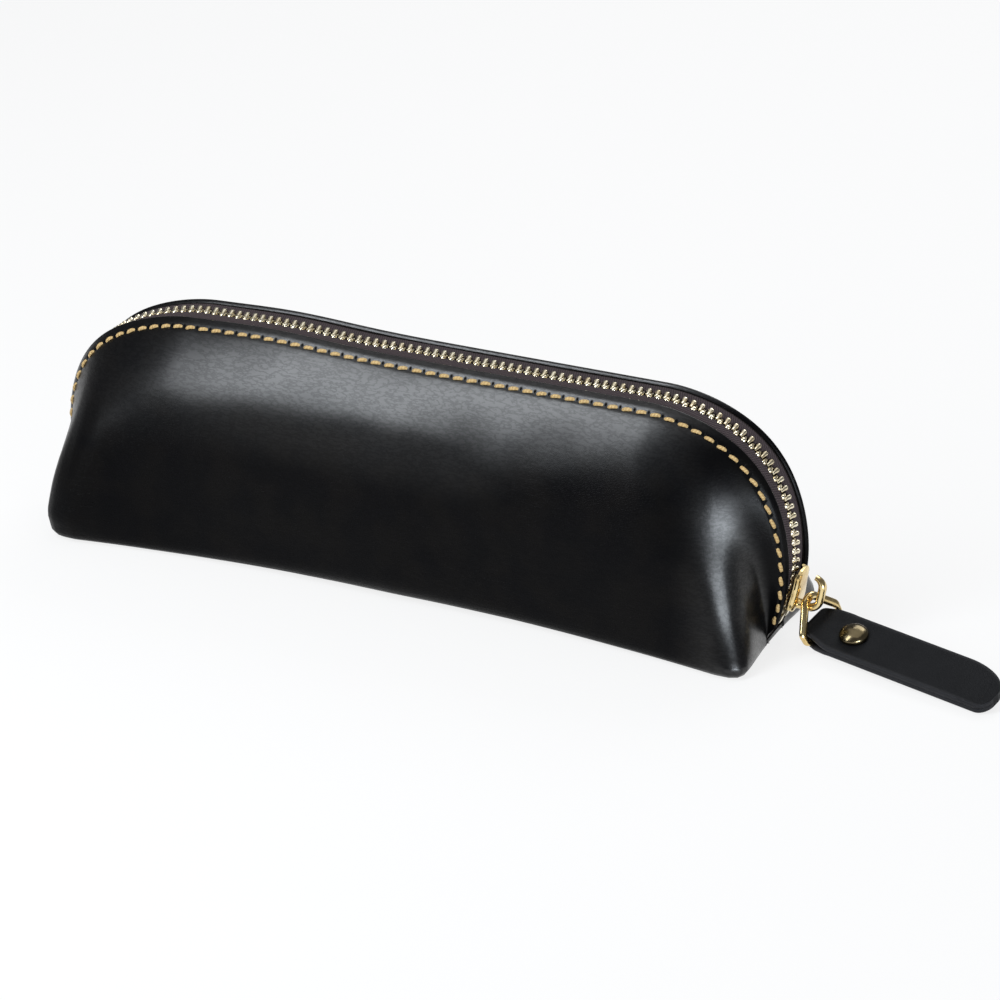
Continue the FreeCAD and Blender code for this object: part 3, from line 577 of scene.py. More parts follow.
def rounded_loop(corners, radii, steps=7):
    """Points round a loop of corners, each bend with its own radius."""
    points = []
    for i, corner in enumerate(corners):
        to_last = (corners[i - 1] - corner).normalized()
        to_next = (corners[(i + 1) % len(corners)] - corner).normalized()
        half_angle = to_last.angle(to_next) / 2
        middle = corner + (to_last + to_next).normalized() * radii[i] / sin(half_angle)
        start = corner + to_last * radii[i] / tan(half_angle) - middle
        end = corner + to_next * radii[i] / tan(half_angle) - middle
        points += [middle + start.slerp(end, k / steps) * radii[i] for k in range(steps + 1)]
    return points


def repeated(points, faces, places):
    """Points and faces of many copies of one small form."""
    form = np.c_[np.array(points), np.ones(len(points))]
    all_points = np.concatenate([(form @ np.array(place).T)[:, :3] for place in places])
    count = len(points)
    all_faces = [
        tuple(corner + i * count for corner in face)
        for i in range(len(places))
        for face in faces
    ]
    return all_points, all_faces


def join(forms):
    """Points and faces of several forms as one."""
    points = []
    faces = []
    for form_points, form_faces in forms:
        faces += [tuple(corner + len(points) for corner in face) for face in form_faces]
        points += list(form_points)
    return points, faces


class Field:
    """A shader socket that takes part in sums: each step adds a Math node."""

    def __init__(self, finish, socket):
        self.finish = finish
        self.socket = socket

    def __add__(self, other):
        return self.finish.math("ADD", self, other)

    __radd__ = __add__

    def __sub__(self, other):
        return self.finish.math("SUBTRACT", self, other)

    def __rsub__(self, other):
        return self.finish.math("SUBTRACT", other, self)

    def __mul__(self, other):
        return self.finish.math("MULTIPLY", self, other)

    __rmul__ = __mul__

    def __truediv__(self, other):
        return self.finish.math("DIVIDE", self, other)

    def __abs__(self):
        return self.finish.math("ABSOLUTE", self)

    def between(self, low, high):
        """0 before low, 1 past high, and a smooth step between them."""
        settings = {"interpolation_type": "SMOOTHSTEP"}
        return self.finish.node("MapRange", settings, {"Value": self, "From Min": low, "From Max": high})


class Finish:
    """One material: its nodes, and the surface that they feed."""

    def __init__(self, name, **surface):
        self.material = bpy.data.materials.new(name)
        self.material.use_nodes = True
        self.tree = self.material.node_tree
        self.surface = self.tree.nodes["Principled BSDF"]
        self.set(**surface)

    def feed(self, socket, value):
        if isinstance(value, Field):
            self.tree.links.new(value.socket, socket)
        else:
            socket.default_value = value

    def set(self, **inputs):
        for name, value in inputs.items():
            self.feed(self.surface.inputs[name.replace("_", " ")], value)

    def node(self, kind, settings=None, inputs=None, output=0):
        node = self.tree.nodes.new(f"ShaderNode{kind}")
        for name, value in (settings or {}).items():
            setattr(node, name, value)
        for name, value in (inputs or {}).items():
            self.feed(node.inputs[name], value)
        return Field(self, node.outputs[output])

    def math(self, operation, *values):
        return self.node("Math", {"operation": operation}, dict(enumerate(values)))

    def wave(self, turns):
        """Between 0 and 1, once up and down in every turn."""
        return self.math("SINE", turns * CIRCLE) * 0.5 + 0.5

    def place(self, stretch=(1, 1, 1)):
        """Position on the piece, stretched along each axis."""
        where = self.node("TexCoord", output="Object")
        return self.node("VectorMath", {"operation": "MULTIPLY"}, {0: where, 1: stretch})

    def seam(self):
        """Distance along the piece and across it."""
        where = self.node("UVMap", {"uv_map": "seam"})
        along = self.node("SeparateXYZ", None, {0: where})
        across = Field(self, along.socket.node.outputs[1])
        return along, across

    def cloud(self, scale, detail=2, where=None, rough=0.5):
        inputs = {"Vector": where or self.place(), "Scale": scale, "Detail": detail, "Roughness": rough}
        return self.node("TexNoise", None, inputs)

    def cells(self, scale, where=None):
        """Distance from the borders between small cells."""
        inputs = {"Vector": where or self.place(), "Scale": scale}
        return self.node("TexVoronoi", {"feature": "DISTANCE_TO_EDGE"}, inputs)

    def tint(self, share, first, second):
        """A colour between two others."""
        settings = {"data_type": "RGBA"}
        return self.node("Mix", settings, {0: share, 6: first, 7: second}, output=2)

    def bump(self, height, depth, strength):
        return self.node("Bump", None, {"Height": height, "Distance": depth, "Strength": strength})


def needle_holes(finish, along, across):
    """1 at the needle holes between the stitches, fading to 0 round each of them; the leather paints shade
    there.
    """
    step = along / STITCH_PITCH + (STITCH_COUNT + 1) % 2 / 2
    from_stitch = abs(finish.math("FRACT", step) - 0.5)
    to_hole = (0.5 - from_stitch) * STITCH_PITCH
    drop = across - STITCH_INSET + HOLE_LIFT
    reach = finish.math("SQRT", to_hole * to_hole + drop * drop * HOLE_STRETCH)
    sewn = 1 - abs(along).between(SEAM_END, SEAM_END + STITCH_PITCH)
    return (1 - reach.between(*HOLE_RIM)) * sewn


def hide_polish(along, across):
    """Polish of the hide, by the distance along the zip and down from it."""
    fade_start = POLISH_REACH - POLISH_SHRINK * along.between(*POLISH_SHRINK_ZONE)
    polish = POLISH - POLISH_LOSS * across.between(fade_start, fade_start + POLISH_FADE)
    polish = polish * (1 - FAR_LOSS * along.between(*FAR_ZONE))
    corner_polish = CORNER_LOW + CORNER_GAIN * across.between(*CORNER_RISE)
    return polish + along.between(*CORNER_ZONE) * (corner_polish - polish)


def body_leather():
    """Smooth black leather: fine grain, small creases, needle holes by the seam darkened with painted shade,
    and a suede inside.
    """
    finish = Finish("body_leather", Specular_IOR_Level=0.04, Coat_Roughness=0.3)
    where = finish.place()
    patches = finish.cloud(scale=90, where=where)
    grain = finish.cells(scale=1500, where=finish.place((0.65, 1, 1.35))).between(*GRAIN_GAP)
    wrinkle_where = finish.place((0.5, 0.9, 1.5))
    wrinkles = finish.cloud(scale=650, detail=4, where=wrinkle_where, rough=0.6)
    crackle = abs(wrinkles - 0.5).between(*CRACKLE_LINE)
    pores = finish.cloud(scale=1900, detail=3, where=where)
    crease_where = finish.place((0.35, 0.35, 2.2))
    crease_line = abs(finish.cloud(scale=230, detail=3, where=crease_where) - 0.5).between(*CREASE_LINE)
    crease = (1 - crease_line) * finish.cloud(scale=45, where=where).between(*CREASE_ZONE)
    along, across = finish.seam()
    suede = across.between(*INSIDE_FACE)
    hole = needle_holes(finish, along, across) * (1 - suede)
    face = finish.tint(patches.between(*PATCH_ZONE), COOL_BLACK, WARM_BLACK)
    # Painted shade: the needle holes get a dark colour here, and lose their coat below, standing in for the
    # shade inside them
    face = finish.tint(hole, face, HOLE_SHADE_BLACK)
    inside = finish.tint(pores, SUEDE_DARK, SUEDE_PALE)
    finish.set(Base_Color=finish.tint(suede, face, inside))
    rough = 0.28 + 0.08 * patches + 0.08 * pores - 0.04 * grain
    finish.set(Roughness=rough + 0.45 * suede + 0.3 * hole)
    polish = hide_polish(along, across) * (0.72 + 0.28 * crackle)
    finish.set(Coat_Weight=polish * (1 - suede) * (1 - hole))
    height = 0.55 * grain + 0.35 * pores - 0.8 * crease - 3.0 * hole
    finish.set(Normal=finish.bump(height, depth=0.05 * MM, strength=0.8))
    return finish.material


def strap_leather():
    """Matt black leather with a fine grain, and a burnished edge that is painted paler as a highlight."""
    finish = Finish("strap_leather", Specular_IOR_Level=0.12)
    grain = finish.cells(scale=1900).between(*GRAIN_GAP)
    pores = finish.cloud(scale=3200, detail=3)
    patches = finish.cloud(scale=160, detail=3)
    across = finish.seam()[1]
    edge = abs(across).between(*BURNISHED_HIGHLIGHT_EDGE)
    face = finish.tint(patches.between(*STRAP_PATCH_ZONE), STRAP_DARK, STRAP_PALE)
    # Painted highlight: the edges are paler in colour; only their lower roughness is real burnish
    finish.set(Base_Color=finish.tint(edge * (0.5 + 0.5 * patches), face, STRAP_EDGE_HIGHLIGHT))
    finish.set(Roughness=0.52 + 0.12 * pores - 0.08 * edge)
    finish.set(Normal=finish.bump(0.6 * grain + 0.4 * pores, depth=0.05 * MM, strength=0.8))
    return finish.material


def tape_cloth():
    """Dark woven zip tape: ribs across it, and cords along its edge."""
    finish = Finish("tape_cloth", Roughness=0.85, Specular_IOR_Level=0.25)
    along, across = finish.seam()
    rib = finish.wave((along + across * RIB_SLANT) / RIB_PITCH)
    cord = finish.wave(across / CORD_PITCH)
    fuzz = finish.cloud(scale=2200, detail=3)
    weave = rib * RIB_SHARE + cord * (1 - RIB_SHARE)
    pale = weave * (1 - FUZZ_SHARE) + fuzz * FUZZ_SHARE
    finish.set(Base_Color=finish.tint(pale, TAPE_DARK, TAPE_PALE))
    finish.set(Normal=finish.bump(weave + fuzz * FUZZ_RISE, depth=0.16 * MM, strength=0.9))
    return finish.material


def thread():
    """Waxed tan thread, its plies twisted, with painted shade in the grooves between them."""
    finish = Finish("thread", Specular_IOR_Level=0.4)
    along, across = finish.seam()
    ply = finish.wave(along * PLY_TURNS + across)
    dye = finish.tint(finish.cloud(scale=420), TAN, TAN_PALE)
    # Painted shade: the thread is darker between the plies, where the twist's grooves lie
    finish.set(Base_Color=finish.tint(ply * PLY_SHARE + PLY_LOW, PLY_GROOVE_SHADE, dye))
    finish.set(Roughness=0.5 + 0.2 * ply)
    finish.set(Normal=finish.bump(ply, depth=0.08 * MM, strength=0.8))
    return finish.material


def brass(name, pale, deep, rough, scratch):
    """Brass with tarnish in broad clouds and fine scratches in its polish."""
    finish = Finish(name, Metallic=1.0)
    tarnish = finish.cloud(scale=260, detail=4)
    streak = finish.cloud(scale=900, detail=3, where=finish.place((1, 1, 5)))
    finish.set(Base_Color=finish.tint(tarnish.between(*TARNISH_ZONE), pale, deep))
    finish.set(Roughness=rough + 0.12 * tarnish + 0.08 * streak)
    finish.set(Normal=finish.bump(0.6 * streak + 0.4 * tarnish, depth=scratch, strength=0.5))
    return finish.material


leather_look = body_leather()
strap_look = strap_leather()
tape_look = tape_cloth()
thread_look = thread()
tooth_look = brass("tooth_brass", TOOTH_PALE, TOOTH_DEEP, rough=0.16, scratch=0.03 * MM)
slider_look = brass("slider_brass", GOLD_PALE, GOLD_DEEP, rough=0.1, scratch=0.02 * MM)
antique_look = brass("antique_brass", ANTIQUE_PALE, ANTIQUE_DEEP, rough=0.12, scratch=0.03 * MM)


def lie_on_half(piece):
    """Bakes the piece's place into its points."""
    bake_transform(piece)


def swelling(point, seed):
    """Broad and finer unevenness at a point of the hide."""
    broad, fine = (
        noise.noise(Vector((point[0] * along, seed, point[2] * up)))
        for along, up in (BROAD_SWELL, FINE_SWELL)
    )
    return broad + FINE_SHARE * fine


def make_side(side, facing, lip_angle, seed):
    """One side of the leather body: a thick soft sheet with a rounded lip and a stitched groove."""
    count = 2 * int(EDGE_END / STITCH_PITCH * STATIONS_PER_STITCH) + 1
    stations = np.linspace(END_CUT - EDGE_END, EDGE_END - END_CUT, count)
    outer = []
    depth = []
    for distance in stations:
        line = section(distance, lip_angle)
        length = path_lengths(line)[-1]
        trim = min(LIP_TRIM, LIP_TRIM_SHARE * length)
        lip = min(LIP_REACH, LIP_SHARE * length)
        places = np.concatenate([LIP_ROWS * lip / LIP_REACH, lip + SIDE_ROWS * (length - lip)])
        places = trim + places * (length - trim) / length
        outer.append(at_places(line, places))
        depth.append(places)
    outer = np.array(outer)
    depth = np.array(depth)
    down = np.gradient(outer, axis=1)
    normal = np.cross(down, np.gradient(outer, axis=0))
    normal /= np.linalg.norm(normal, axis=2, keepdims=True)
    inner = outer - normal * LEATHER
    stitched = np.clip((SEAM_END - np.abs(stations)) / STITCH_PITCH, 0, 1)[:, None]
    pucker = np.cos(stations / STITCH_PITCH * CIRCLE + pi * (STITCH_COUNT % 2))[:, None]
    groove = bell(depth - STITCH_INSET, GROOVE_WIDTH) * (1 - PUCKER - PUCKER * pucker)
    puff = bell(depth - PUFF_PLACE, PUFF_WIDTH)
    swell = np.array([[swelling(point, seed) for point in row] for row in outer])
    swell *= np.clip((depth - SWELL_START) / SWELL_RISE, 0, 1)
    swell *= np.clip((depth[:, -1:] - depth) / SWELL_FALL, 0, 1)
    relief = (PUFF * puff - GROOVE_DEPTH * groove) * stitched + SWELL * swell
    outer = outer + normal * relief[:, :, None]
    lip_out = -down[:, 0] / np.linalg.norm(down[:, 0], axis=1, keepdims=True)
    lip_middle = (outer[:, 0] + inner[:, 0]) / 2
    half_thick = (outer[:, 0] - inner[:, 0]) / 2
    rim = [
        lip_middle + half_thick * sin(turned) + lip_out * LIP_ROUNDING * cos(turned)
        for turned in RIM_ANGLES
    ]
    rings = np.concatenate([outer, inner[:, ::-1], np.stack(rim, axis=1)], axis=1)
    rings[:, :, 1] *= -facing
    along = np.repeat(stations[:, None], rings.shape[1], axis=1)
    rim_across = np.full((count, len(rim)), RIM_PLACE)
    across = np.concatenate([depth, -depth[:, ::-1] - INSIDE_PLACE, rim_across], axis=1)
    uv = np.stack([along, across], axis=-1).reshape(-1, 2)
    faces = tube_faces(count, rings.shape[1], flipped=facing > 0)
    piece = new_piece(f"leather_{side}", rings.reshape(-1, 3), faces, leather_look, uv, sharp=60)
    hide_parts(f"{side}_panel")
    lie_on_half(piece)


def make_base():
    """The flat base that the two sides turn up from."""
    last = base_edge_lengths()[2]
    steps = 120
    edge = [base_edge(last * i / steps)[0] for i in range(steps + 1)]
    right = [(point.x - BASE_EASE, point.y + BASE_EASE) for point in edge]
    right.append((BASE_LENGTH / 2 + TAB_SHOWN, -ZIP_GAP / 2 + SEAM_GAP))
    front = [(-x, y) for x, y in reversed(right)] + right[1:]
    loop = front + [(x, -y) for x, y in reversed(front)]
    levels = ((0, BASE_CHAMFER, 1), (BASE_CHAMFER, 0, 1), (LEATHER, 0, 1), (LEATHER, BASE_INSIDE, -1))
    rings = []
    uv = []
    for height, shrink, outside in levels:
        rings += [(x - copysign(shrink, x), y - copysign(shrink, y), height) for x, y in loop]
        uv += [(x, outside * BASE_PLACE) for x, _ in loop]
    faces = tube_faces(len(levels), len(loop))
    piece = new_piece("leather_base", rings, faces, leather_look, uv, sharp=60)
    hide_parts("base_panel")
    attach(piece, "base")


def chain_wave(distance):
    """Sideways wander of the zip, which dies away towards the slider."""
    fade = smooth((HALF_RUN - WAVE_STOP - distance) / WAVE_FADE)
    return fade * sum(sway * sin(distance / length + start) for length, sway, start in WAVES)


def zip_point(distance, aside, lift):
    """A point of the zip, by its distance along the arch, across it and above its middle."""
    origin, _, outward = arch(distance, CHAIN_RADIUS)
    share = max(0, min(1, (WAVE_EDGE - abs(aside)) / WAVE_EDGE_FADE))
    return origin + outward * lift + ASIDE * (aside + chain_wave(distance) * share)


def make_tape(side, facing, lip_angle):
    """One woven tape: a corded edge under the teeth, then flat, then under the leather."""
    end = arch_length(TAPE_FOOT, CHAIN_RADIUS)
    count = 2 * int(end / TAPE_STEP) + 1
    bend = ZIP_GAP / 2 - LEATHER * sin(LIP_ANGLE)
    far = bend + TAPE_UNDER * cos(lip_angle)
    dip = TAPE_UNDER * sin(lip_angle)
    half_tape = TAPE / 2
    sag = half_tape * TAPE_SAG
    profile = [(aside, half_tape * thick) for aside, thick in TAPE_CORD]
    profile += [
        (bend - TAPE, half_tape),
        (bend, half_tape - sag),
        (far, half_tape - dip),
        (far - TAPE_SLANT, -half_tape - dip),
        (bend, -half_tape - sag),
    ]
    profile += [(aside, -half_tape * thick) for aside, thick in reversed(TAPE_CORD[1:])]
    rings = []
    uv = []
    for distance in np.linspace(-end, end, count):
        cut = smooth((abs(distance) - end + TAPE_CUT) / TAPE_CUT)
        for aside, lift in profile:
            over = max(aside - TAPE_END, 0)
            rings.append(zip_point(distance, facing * (aside - over * cut), lift * (1 - cut * (over > 0))))
            uv.append((distance, aside))
    faces = tube_faces(count, len(profile), flipped=facing < 0)
    piece = new_piece(f"{side}_zip_tape", rings, faces, tape_look, uv)
    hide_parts(f"{side}_tape")
    lie_on_half(piece)


def tooth_form():
    """One cast tooth: a domed shoulder that grips the tape, and a low nose that meshes."""
    places, half_widths, half_heights = np.array(TOOTH_SHAPE).T * MM
    path = [ASIDE * place for place in places]
    return bar_points(path, ALONG, half_widths, half_heights, steps=12)


def make_teeth(side, facing, shift):
    """One row of teeth, which parts from the other inside the slider."""
    slider = arch_length(SLIDER_HEIGHT, CHAIN_RADIUS)
    nose = slider + SLIDER_LENGTH / 2
    chain_end = nose + CHAIN_OVER
    parting_start = slider - TOOTH_PITCH
    parting_end = nose - WEDGE_LENGTH / 2
    count = int((2 * chain_end - shift) / TOOTH_PITCH)
    step = 0.5 * MM
    places = []
    for i in range(count + 1):
        distance = chain_end - shift - i * TOOTH_PITCH
        apart = ROW_PARTING * smooth((distance - parting_start) / (parting_end - parting_start))
        along = (zip_point(distance + step, 0, 0) - zip_point(distance - step, 0, 0)).normalized()
        outward = arch(distance, CHAIN_RADIUS)[2]
        outward = (outward - along * outward.dot(along)).normalized()
        places.append(axes_frame(zip_point(distance, facing * apart, 0), along * -facing, outward))
    points, faces = repeated(*tooth_form(), places)
    piece = new_piece(f"{side}_zip_teeth", points, faces, tooth_look)
    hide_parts(f"{side}_teeth")
    lie_on_half(piece)


def stitch_form():
    """One stitch: a length of thread that rises from its hole, lies on the leather and dips again."""
    ring_count = 11
    ring_size = 8
    points = []
    uv = []
    for i in range(ring_count):
        share = i / (ring_count - 1)
        rise = sin(pi * share) ** STITCH_CURVE
        middle = Vector((STITCH_LENGTH * (share - 0.5), 0, STITCH_RISE * rise - STITCH_SINK))
        radius = STITCH_RADIUS * (STITCH_NECK + (1 - STITCH_NECK) * rise)
        for k in range(ring_size):
            turned = CIRCLE * k / ring_size
            points.append(middle + Vector((0, cos(turned) * radius, sin(turned) * radius)))
            uv.append((share, k / ring_size))
    return points, tube_faces(ring_count, ring_size), uv


def make_stitching(side, facing, lip_angle):
    """One row of slanted stitches in the groove beside the zip."""
    mirror = Matrix.Diagonal((1, -facing, 1, 1))
    places = []
    for i in range(STITCH_COUNT + 1):
        distance = (i - STITCH_COUNT / 2) * STITCH_PITCH
        slant = Matrix.Rotation(STITCH_SLANT + STITCH_WANDER * sin(i * WANDER_STEP), 4, "Z")
        places.append(mirror @ seam_frame(distance, STITCH_INSET, lip_angle) @ slant)
    form, form_faces, form_uv = stitch_form()
    points, faces = repeated(form, form_faces, places)
    if facing > 0:
        faces = [tuple(reversed(face)) for face in faces]
    piece = new_piece(f"{side}_stitches", points, faces, thread_look, form_uv * len(places))
    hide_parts(f"{side}_stitching")
    lie_on_half(piece)


def bar_frame(dip):
    """Frame on the ring's bar: Y lies along the bar, and X points down the strap."""
    bar = -Vector(joints["strap_swing"]["axis"])
    roll = asin(bar.z)
    yaw = atan2(bar.x, bar.y)
    turn = Matrix.Rotation(-yaw, 4, "Z") @ Matrix.Rotation(roll, 4, "X") @ Matrix.Rotation(dip, 4, "Y")
    return Matrix.Translation(joints["strap_swing"]["pos_m"]) @ turn


def strap_edges(along):
    """The strap's near and far edge at a distance from the ring's bar; its tip is rounder on the far side."""
    half = STRAP_NECK / 2 + (STRAP_WIDTH - STRAP_NECK) / 2 * smooth(along / STRAP_TAPER)
    half -= FOLD_TAPER * max(-along, 0)
    edges = []
    for side, length, cut in ((-1, NEAR_TIP, NEAR_TIP_CUT), (1, FAR_TIP, FAR_TIP_CUT)):
        into_tip = max(along - STRAP_LENGTH + length, 0) / length
        edges.append(side * (half - cut * (1 - sqrt(max(1 - into_tip**2, 0)))))
    return edges


def strap_path():
    """Middle line of the folded strip in the strap's plane, from the upper tip round the bar to the lower."""
    eye = WIRE / 2 + EYE_ROOM + STRAP_LAYER / 2
    rest = STRAP_LAYER / 2
    tip_steps = 22
    run_steps = 44
    turn_steps = 14
    tip_start = STRAP_LENGTH - FAR_TIP
    places = [tip_start + FAR_TIP * sin(QUARTER * (1 - i / tip_steps)) for i in range(tip_steps)]
    run = [STRAP_LENGTH * (1 - i / run_steps) for i in range(run_steps)]
    places += [along for along in run if along < tip_start]
    upper = [(along, rest + (eye - rest) * smooth(1 - along / STRAP_EYE)) for along in places]
    turns = [pi * i / turn_steps for i in range(turn_steps + 1)]
    fold = [(-STRAP_SLACK - eye * sin(turned), eye * cos(turned)) for turned in turns]
    lower = [(along, -height) for along, height in reversed(upper)]
    return [Vector((along, 0, height)) for along, height in upper + fold + lower]


def strap_profile(half):
    """Outline across one layer of the strap: place across, place through, and 1 on its flat faces."""
    half_thick = STRAP_LAYER / 2
    flat = half - STRAP_CORNER
    across_steps = 9
    corner_steps = 4
    profile = []
    for side in (1, -1):
        for k in range(across_steps):
            profile.append((side * flat * (2 * k / across_steps - 1), side * half_thick, 1))
        for k in range(corner_steps * 2 + 1):
            turned = QUARTER * (1 - k / corner_steps)
            aside = flat + STRAP_CORNER * cos(turned)
            lift = np.sign(turned) * (half_thick - STRAP_CORNER) + STRAP_CORNER * sin(turned)
            profile.append((side * aside, side * lift, 0))
    return profile


def make_strap():
    """The pull: a strip of leather folded round the ring's bar, two layers with burnished edges, painted
    paler as a highlight.
    """
    path = strap_path()
    rings = []
    uv = []
    for i, middle in enumerate(path):
        ahead = path[min(i + 1, len(path) - 1)] - path[max(i - 1, 0)]
        normal = ASIDE.cross(ahead).normalized()
        near, far = strap_edges(middle.x)
        half = max((far - near) / 2, STRAP_CORNER * 2)
        centre = (far + near) / 2
        for aside, lift, flat in strap_profile(half):
            where = Vector((middle.x, aside, middle.z)) * Vector(STRAP_WAVES) + UP * STRAP_WAVE_START
            wander = noise.noise(where) * STRAP_WAVE * flat
            rings.append(middle + ASIDE * (centre + aside) + normal * (lift + wander))
            uv.append((middle.x, aside / half))
    faces = tube_faces(len(path), len(rings) // len(path))
    place = bar_frame(STRAP_DIP)
    piece = new_piece("pull_strap_leather", rings, faces, strap_look, uv, sharp=60, place=place)
    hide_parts("pull_strap")
    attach(piece, "strap")


def turn_rivet(name, node, profile):
    """A turned piece of the rivet, through radii and heights over the strap's middle."""
    place = bar_frame(STRAP_DIP) @ Matrix.Translation((RIVET_PLACE, 0, 0))
    steps = 48
    points = []
    for radius, height in profile:
        reach = max(radius, AXIS_GAP)
        for k in range(steps):
            turned = CIRCLE * k / steps
            points.append(Vector((reach * cos(turned), reach * sin(turned), height)))
    piece = new_piece(name, points, tube_faces(len(profile), steps), antique_look, sharp=35, place=place)
    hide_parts(node)
    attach(piece, "strap")


def make_rivet():
    """A domed cap with a rolled rim on the strap's face, and a flat disc under it."""
    radius = RIVET_HEAD / 2
    dome_steps = 12
    cap = [(radius * share, STRAP_LAYER + height * MM) for share, height in CAP_FOOT]
    for i in range(dome_steps):
        turned = QUARTER * i / dome_steps
        height = RIVET_RIM + (RIVET_DOME - RIVET_RIM) * sin(turned)
        cap.append((radius * cos(turned), STRAP_LAYER + height))
    cap.append((0, STRAP_LAYER + RIVET_DOME + RIVET_CROWN))
    turn_rivet("rivet_dome", "rivet_cap", cap)
    disc = [(RIVET_BACK / 2 * share, height * MM - STRAP_LAYER) for share, height in DISC_FACE + DISC_RIM]
    turn_rivet("rivet_disc", "rivet_back", disc)


def make_ring():
    """The ring between the hook and the strap: a straight bar, two arms that lean in and a narrow top."""
    half = RING_BAR / 2
    half_top = RING_TOP / 2
    right = [(half, 0), (half, RING_UPRIGHT), (half_top, RING_HEIGHT)]
    left = [(-aside, height) for aside, height in reversed(right)]
    corners = [Vector((0, aside, height)) for aside, height in left[-1:] + right + left[:-1]]
    path = rounded_loop(corners, [RING_CORNER] * 2 + [RING_BEND] * 4)
    flat_half = [WIRE / 2 * (1 + RING_FLAT * smooth((point.z - WIRE) / WIRE)) for point in path]
    points, faces = bar_points(path, ALONG, WIRE / 2 * RING_DEPTH, flat_half, square=2.4, loop=True)
    piece = new_piece("pull_ring_wire", points, faces, slider_look, place=bar_frame(-RING_LEAN))
    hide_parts("pull_ring")
    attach(piece, "ring")


def slider_frame():
    """Frame in the slider's middle: X along the zip, away from its shut run, and Z out of the case."""
    return axes_frame(*arch(arch_length(SLIDER_HEIGHT, CHAIN_RADIUS), CHAIN_RADIUS))


def slider_half_width(along):
    """Half width of the slider's plates, which spread towards the wedge."""
    end = SLIDER_LENGTH / 2
    half = PLATE_NARROW + PLATE_SPREAD * smooth((along / end - SPREAD_START) / SPREAD_REACH)
    over = abs(along) - end + PLATE_ROUNDING
    if over > 0:
        half -= PLATE_ROUNDING - sqrt(max(PLATE_ROUNDING**2 - over**2, 0))
    return half


def make_slider():
    """The slider: two domed plates with turned-in flanges, joined by a wedge."""
    end = SLIDER_LENGTH / 2
    steps = 24
    stations = [end * sin(QUARTER * (2 * i / steps - 1)) for i in range(steps + 1)]
    flange_run = [x for x in stations if abs(x) < FLANGE_RUN * end]
    outline = [(x, slider_half_width(x)) for x in stations]
    outline += [(x, -half) for x, half in reversed(outline)]
    forms = []
    for side in (1, -1):
        points = [
            Vector((x * shrink, half * shrink, side * (PLATE_SEAT + height * MM)))
            for height, shrink in PLATE_LEVELS
            for x, half in outline
        ]
        forms.append((points, tube_faces(len(PLATE_LEVELS), len(outline), flipped=side > 0)))
        height = side * (PLATE_SEAT - FLANGE_DROP)
        for edge in (1, -1):
            path = [Vector((x, edge * (slider_half_width(x) - FLANGE_INSET), height)) for x in flange_run]
            forms.append(bar_points(path, UP, FLANGE_HALF_HEIGHT, FLANGE_HALF_THICK))
    wedge = [Vector((end - WEDGE_LENGTH * WEDGE_PLACE, 0, height)) for height in WEDGE_LEVELS]
    forms.append(bar_points(wedge, ALONG, WEDGE_LENGTH / 2 * WEDGE_SHOWN, WEDGE_HALF_THICK, square=2.2))
    body = new_piece("zip_slider", *join(forms), slider_look, sharp=45, place=slider_frame())
    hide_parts("slider_body")
    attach(body, "slider")


def hook_point(centre, bend, turned):
    """A point on one of the hook's bends."""
    return Vector((centre + bend * cos(turned), 0, HOOK_TOP - bend + bend * sin(turned)))


def make_hook():
    """The open hook on the slider: it rises from a broad foot, runs back and turns down to a thin tip."""
    path = [Vector((HOOK_ROOT, 0, height)) for height in HOOK_LEVELS]
    bend_steps = 8
    tip_steps = 10
    for i in range(bend_steps + 1):
        path.append(hook_point(HOOK_ROOT - HOOK_BEND, HOOK_BEND, QUARTER * i / bend_steps))
    path.append(Vector((0, 0, HOOK_TOP)))
    for i in range(tip_steps + 1):
        turned = QUARTER + HOOK_TIP_TURN * i / tip_steps
        path.append(hook_point(HOOK_TIP_BEND - HOOK_ROOT, HOOK_TIP_BEND, turned))
    half_widths = []
    half_depths = []
    for i in range(len(path)):
        into_tip = (i / (len(path) - 1) - HOOK_TAPER_START) / (1 - HOOK_TAPER_START)
        taper = 1 - HOOK_TAPER * smooth(into_tip)
        foot = 1 + HOOK_FOOT * smooth(1 - i / HOOK_FOOT_POINTS)
        half_widths.append(HOOK_HALF_WIDTH * taper * foot)
        half_depths.append(HOOK_HALF_THICK * taper)
    points, faces = bar_points(path, ASIDE, half_widths, half_depths, steps=16, square=2.6)
    hook = new_piece("slider_hook", points, faces, slider_look, sharp=60, place=slider_frame())
    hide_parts("slider_crown")
    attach(hook, "slider")


def floor_look():
    """Pale floor that is lit like the room, and glows for what looks straight at it."""
    finish = Finish("floor", Roughness=0.9, Specular_IOR_Level=0.1)
    finish.set(Base_Color=finish.tint(finish.cloud(scale=3), FLOOR_GREY, FLOOR_PALE))
    seen = finish.node("LightPath", output="Is Camera Ray")
    shone = finish.node("LightPath", output="Is Glossy Ray")
    through = finish.node("LightPath", output="Is Transmission Ray")
    share = finish.math("MINIMUM", seen + shone + through, 1) * FLOOR_GLOW
    plain = Field(finish, finish.surface.outputs[0])
    mixed = finish.node("MixShader", None, {0: share, 1: plain, 2: finish.node("Emission")})
    finish.feed(finish.tree.nodes["Material Output"].inputs["Surface"], mixed)
    return finish.material


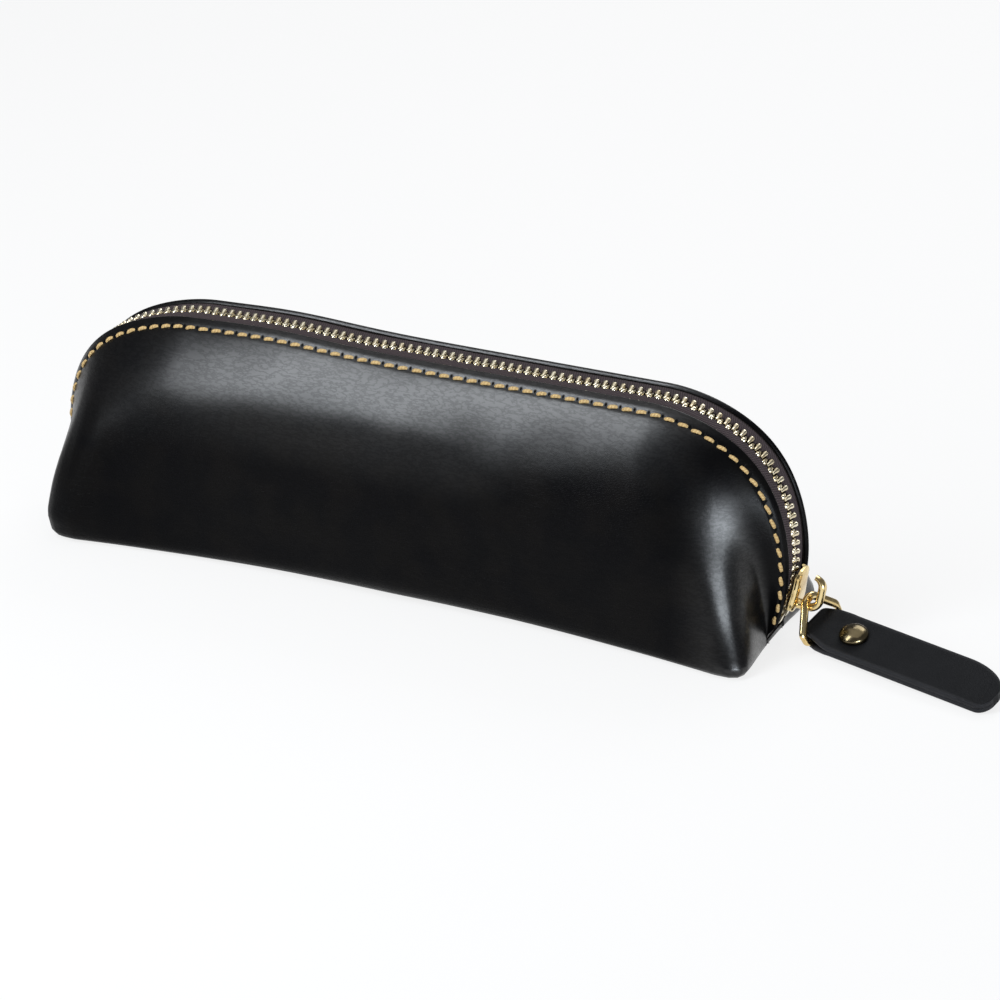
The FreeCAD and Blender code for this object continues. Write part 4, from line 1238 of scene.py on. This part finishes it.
def add_lamp(name, place, target, size, power, colour, roll):
    """A rectangular lamp that faces its target, rolled about its own direction."""
    data = bpy.data.lights.new(name, "AREA")
    data.shape = "RECTANGLE"
    data.size, data.size_y = size
    data.energy = power
    data.color = colour
    lamp = bpy.data.objects.new(name, data)
    lamp.location = place
    aim = (Vector(target) - Vector(place)).to_track_quat("-Z", "Y").to_matrix()
    lamp.rotation_euler = (aim @ Matrix.Rotation(radians(roll), 3, "Z")).to_euler()
    bpy.context.scene.collection.objects.link(lamp)


def make_stage():
    """Pale floor, soft lamps and the camera."""
    scene = bpy.context.scene
    ends = (-FLOOR_REACH, FLOOR_REACH)
    corners = [(x, y, FLOOR_LEVEL) for y in ends for x in ends]
    floor = new_piece("floor", corners, [(0, 1, 3, 2)], floor_look())
    world = bpy.data.worlds.new("studio")
    world.use_nodes = True
    sky = world.node_tree.nodes["Background"]
    sky.inputs["Color"].default_value = SKY
    sky.inputs["Strength"].default_value = SKY_STRENGTH
    scene.world = world
    for lamp in LAMPS:
        add_lamp(*lamp)
    camera_data = bpy.data.cameras.new("camera")
    camera_data.lens = VIEW_LENS
    camera_data.sensor_width = SENSOR
    camera_data.clip_start = CLIP_START
    camera = bpy.data.objects.new("camera", camera_data)
    level = Vector((-sin(VIEW_AZIMUTH), cos(VIEW_AZIMUTH), 0))
    ahead = level * cos(VIEW_ELEVATION) - UP * sin(VIEW_ELEVATION)
    camera.location = VIEW_PLACE
    camera.rotation_euler = ahead.to_track_quat("-Z", "Y").to_euler()
    scene.collection.objects.link(camera)
    scene.camera = camera
    scene.view_settings.view_transform = "Standard"


make_stage()
make_side("front", -1, LIP_ANGLE, seed=1.7)
make_side("back", 1, BACK_LIP_ANGLE, seed=8.3)
make_base()
make_tape("front", -1, LIP_ANGLE)
make_tape("back", 1, BACK_LIP_ANGLE)
make_teeth("front", -1, shift=0)
make_teeth("back", 1, shift=TOOTH_PITCH / 2)
make_stitching("front", -1, LIP_ANGLE)
make_stitching("back", 1, BACK_LIP_ANGLE)
make_slider()
make_hook()
make_ring()
make_strap()
make_rivet()
for node in ("front_top_stop", "back_top_stop", "bottom_stop"):
    stop = frame["nodes"][node]
    stop.data.materials.clear()
    stop.data.materials.append(tooth_look)
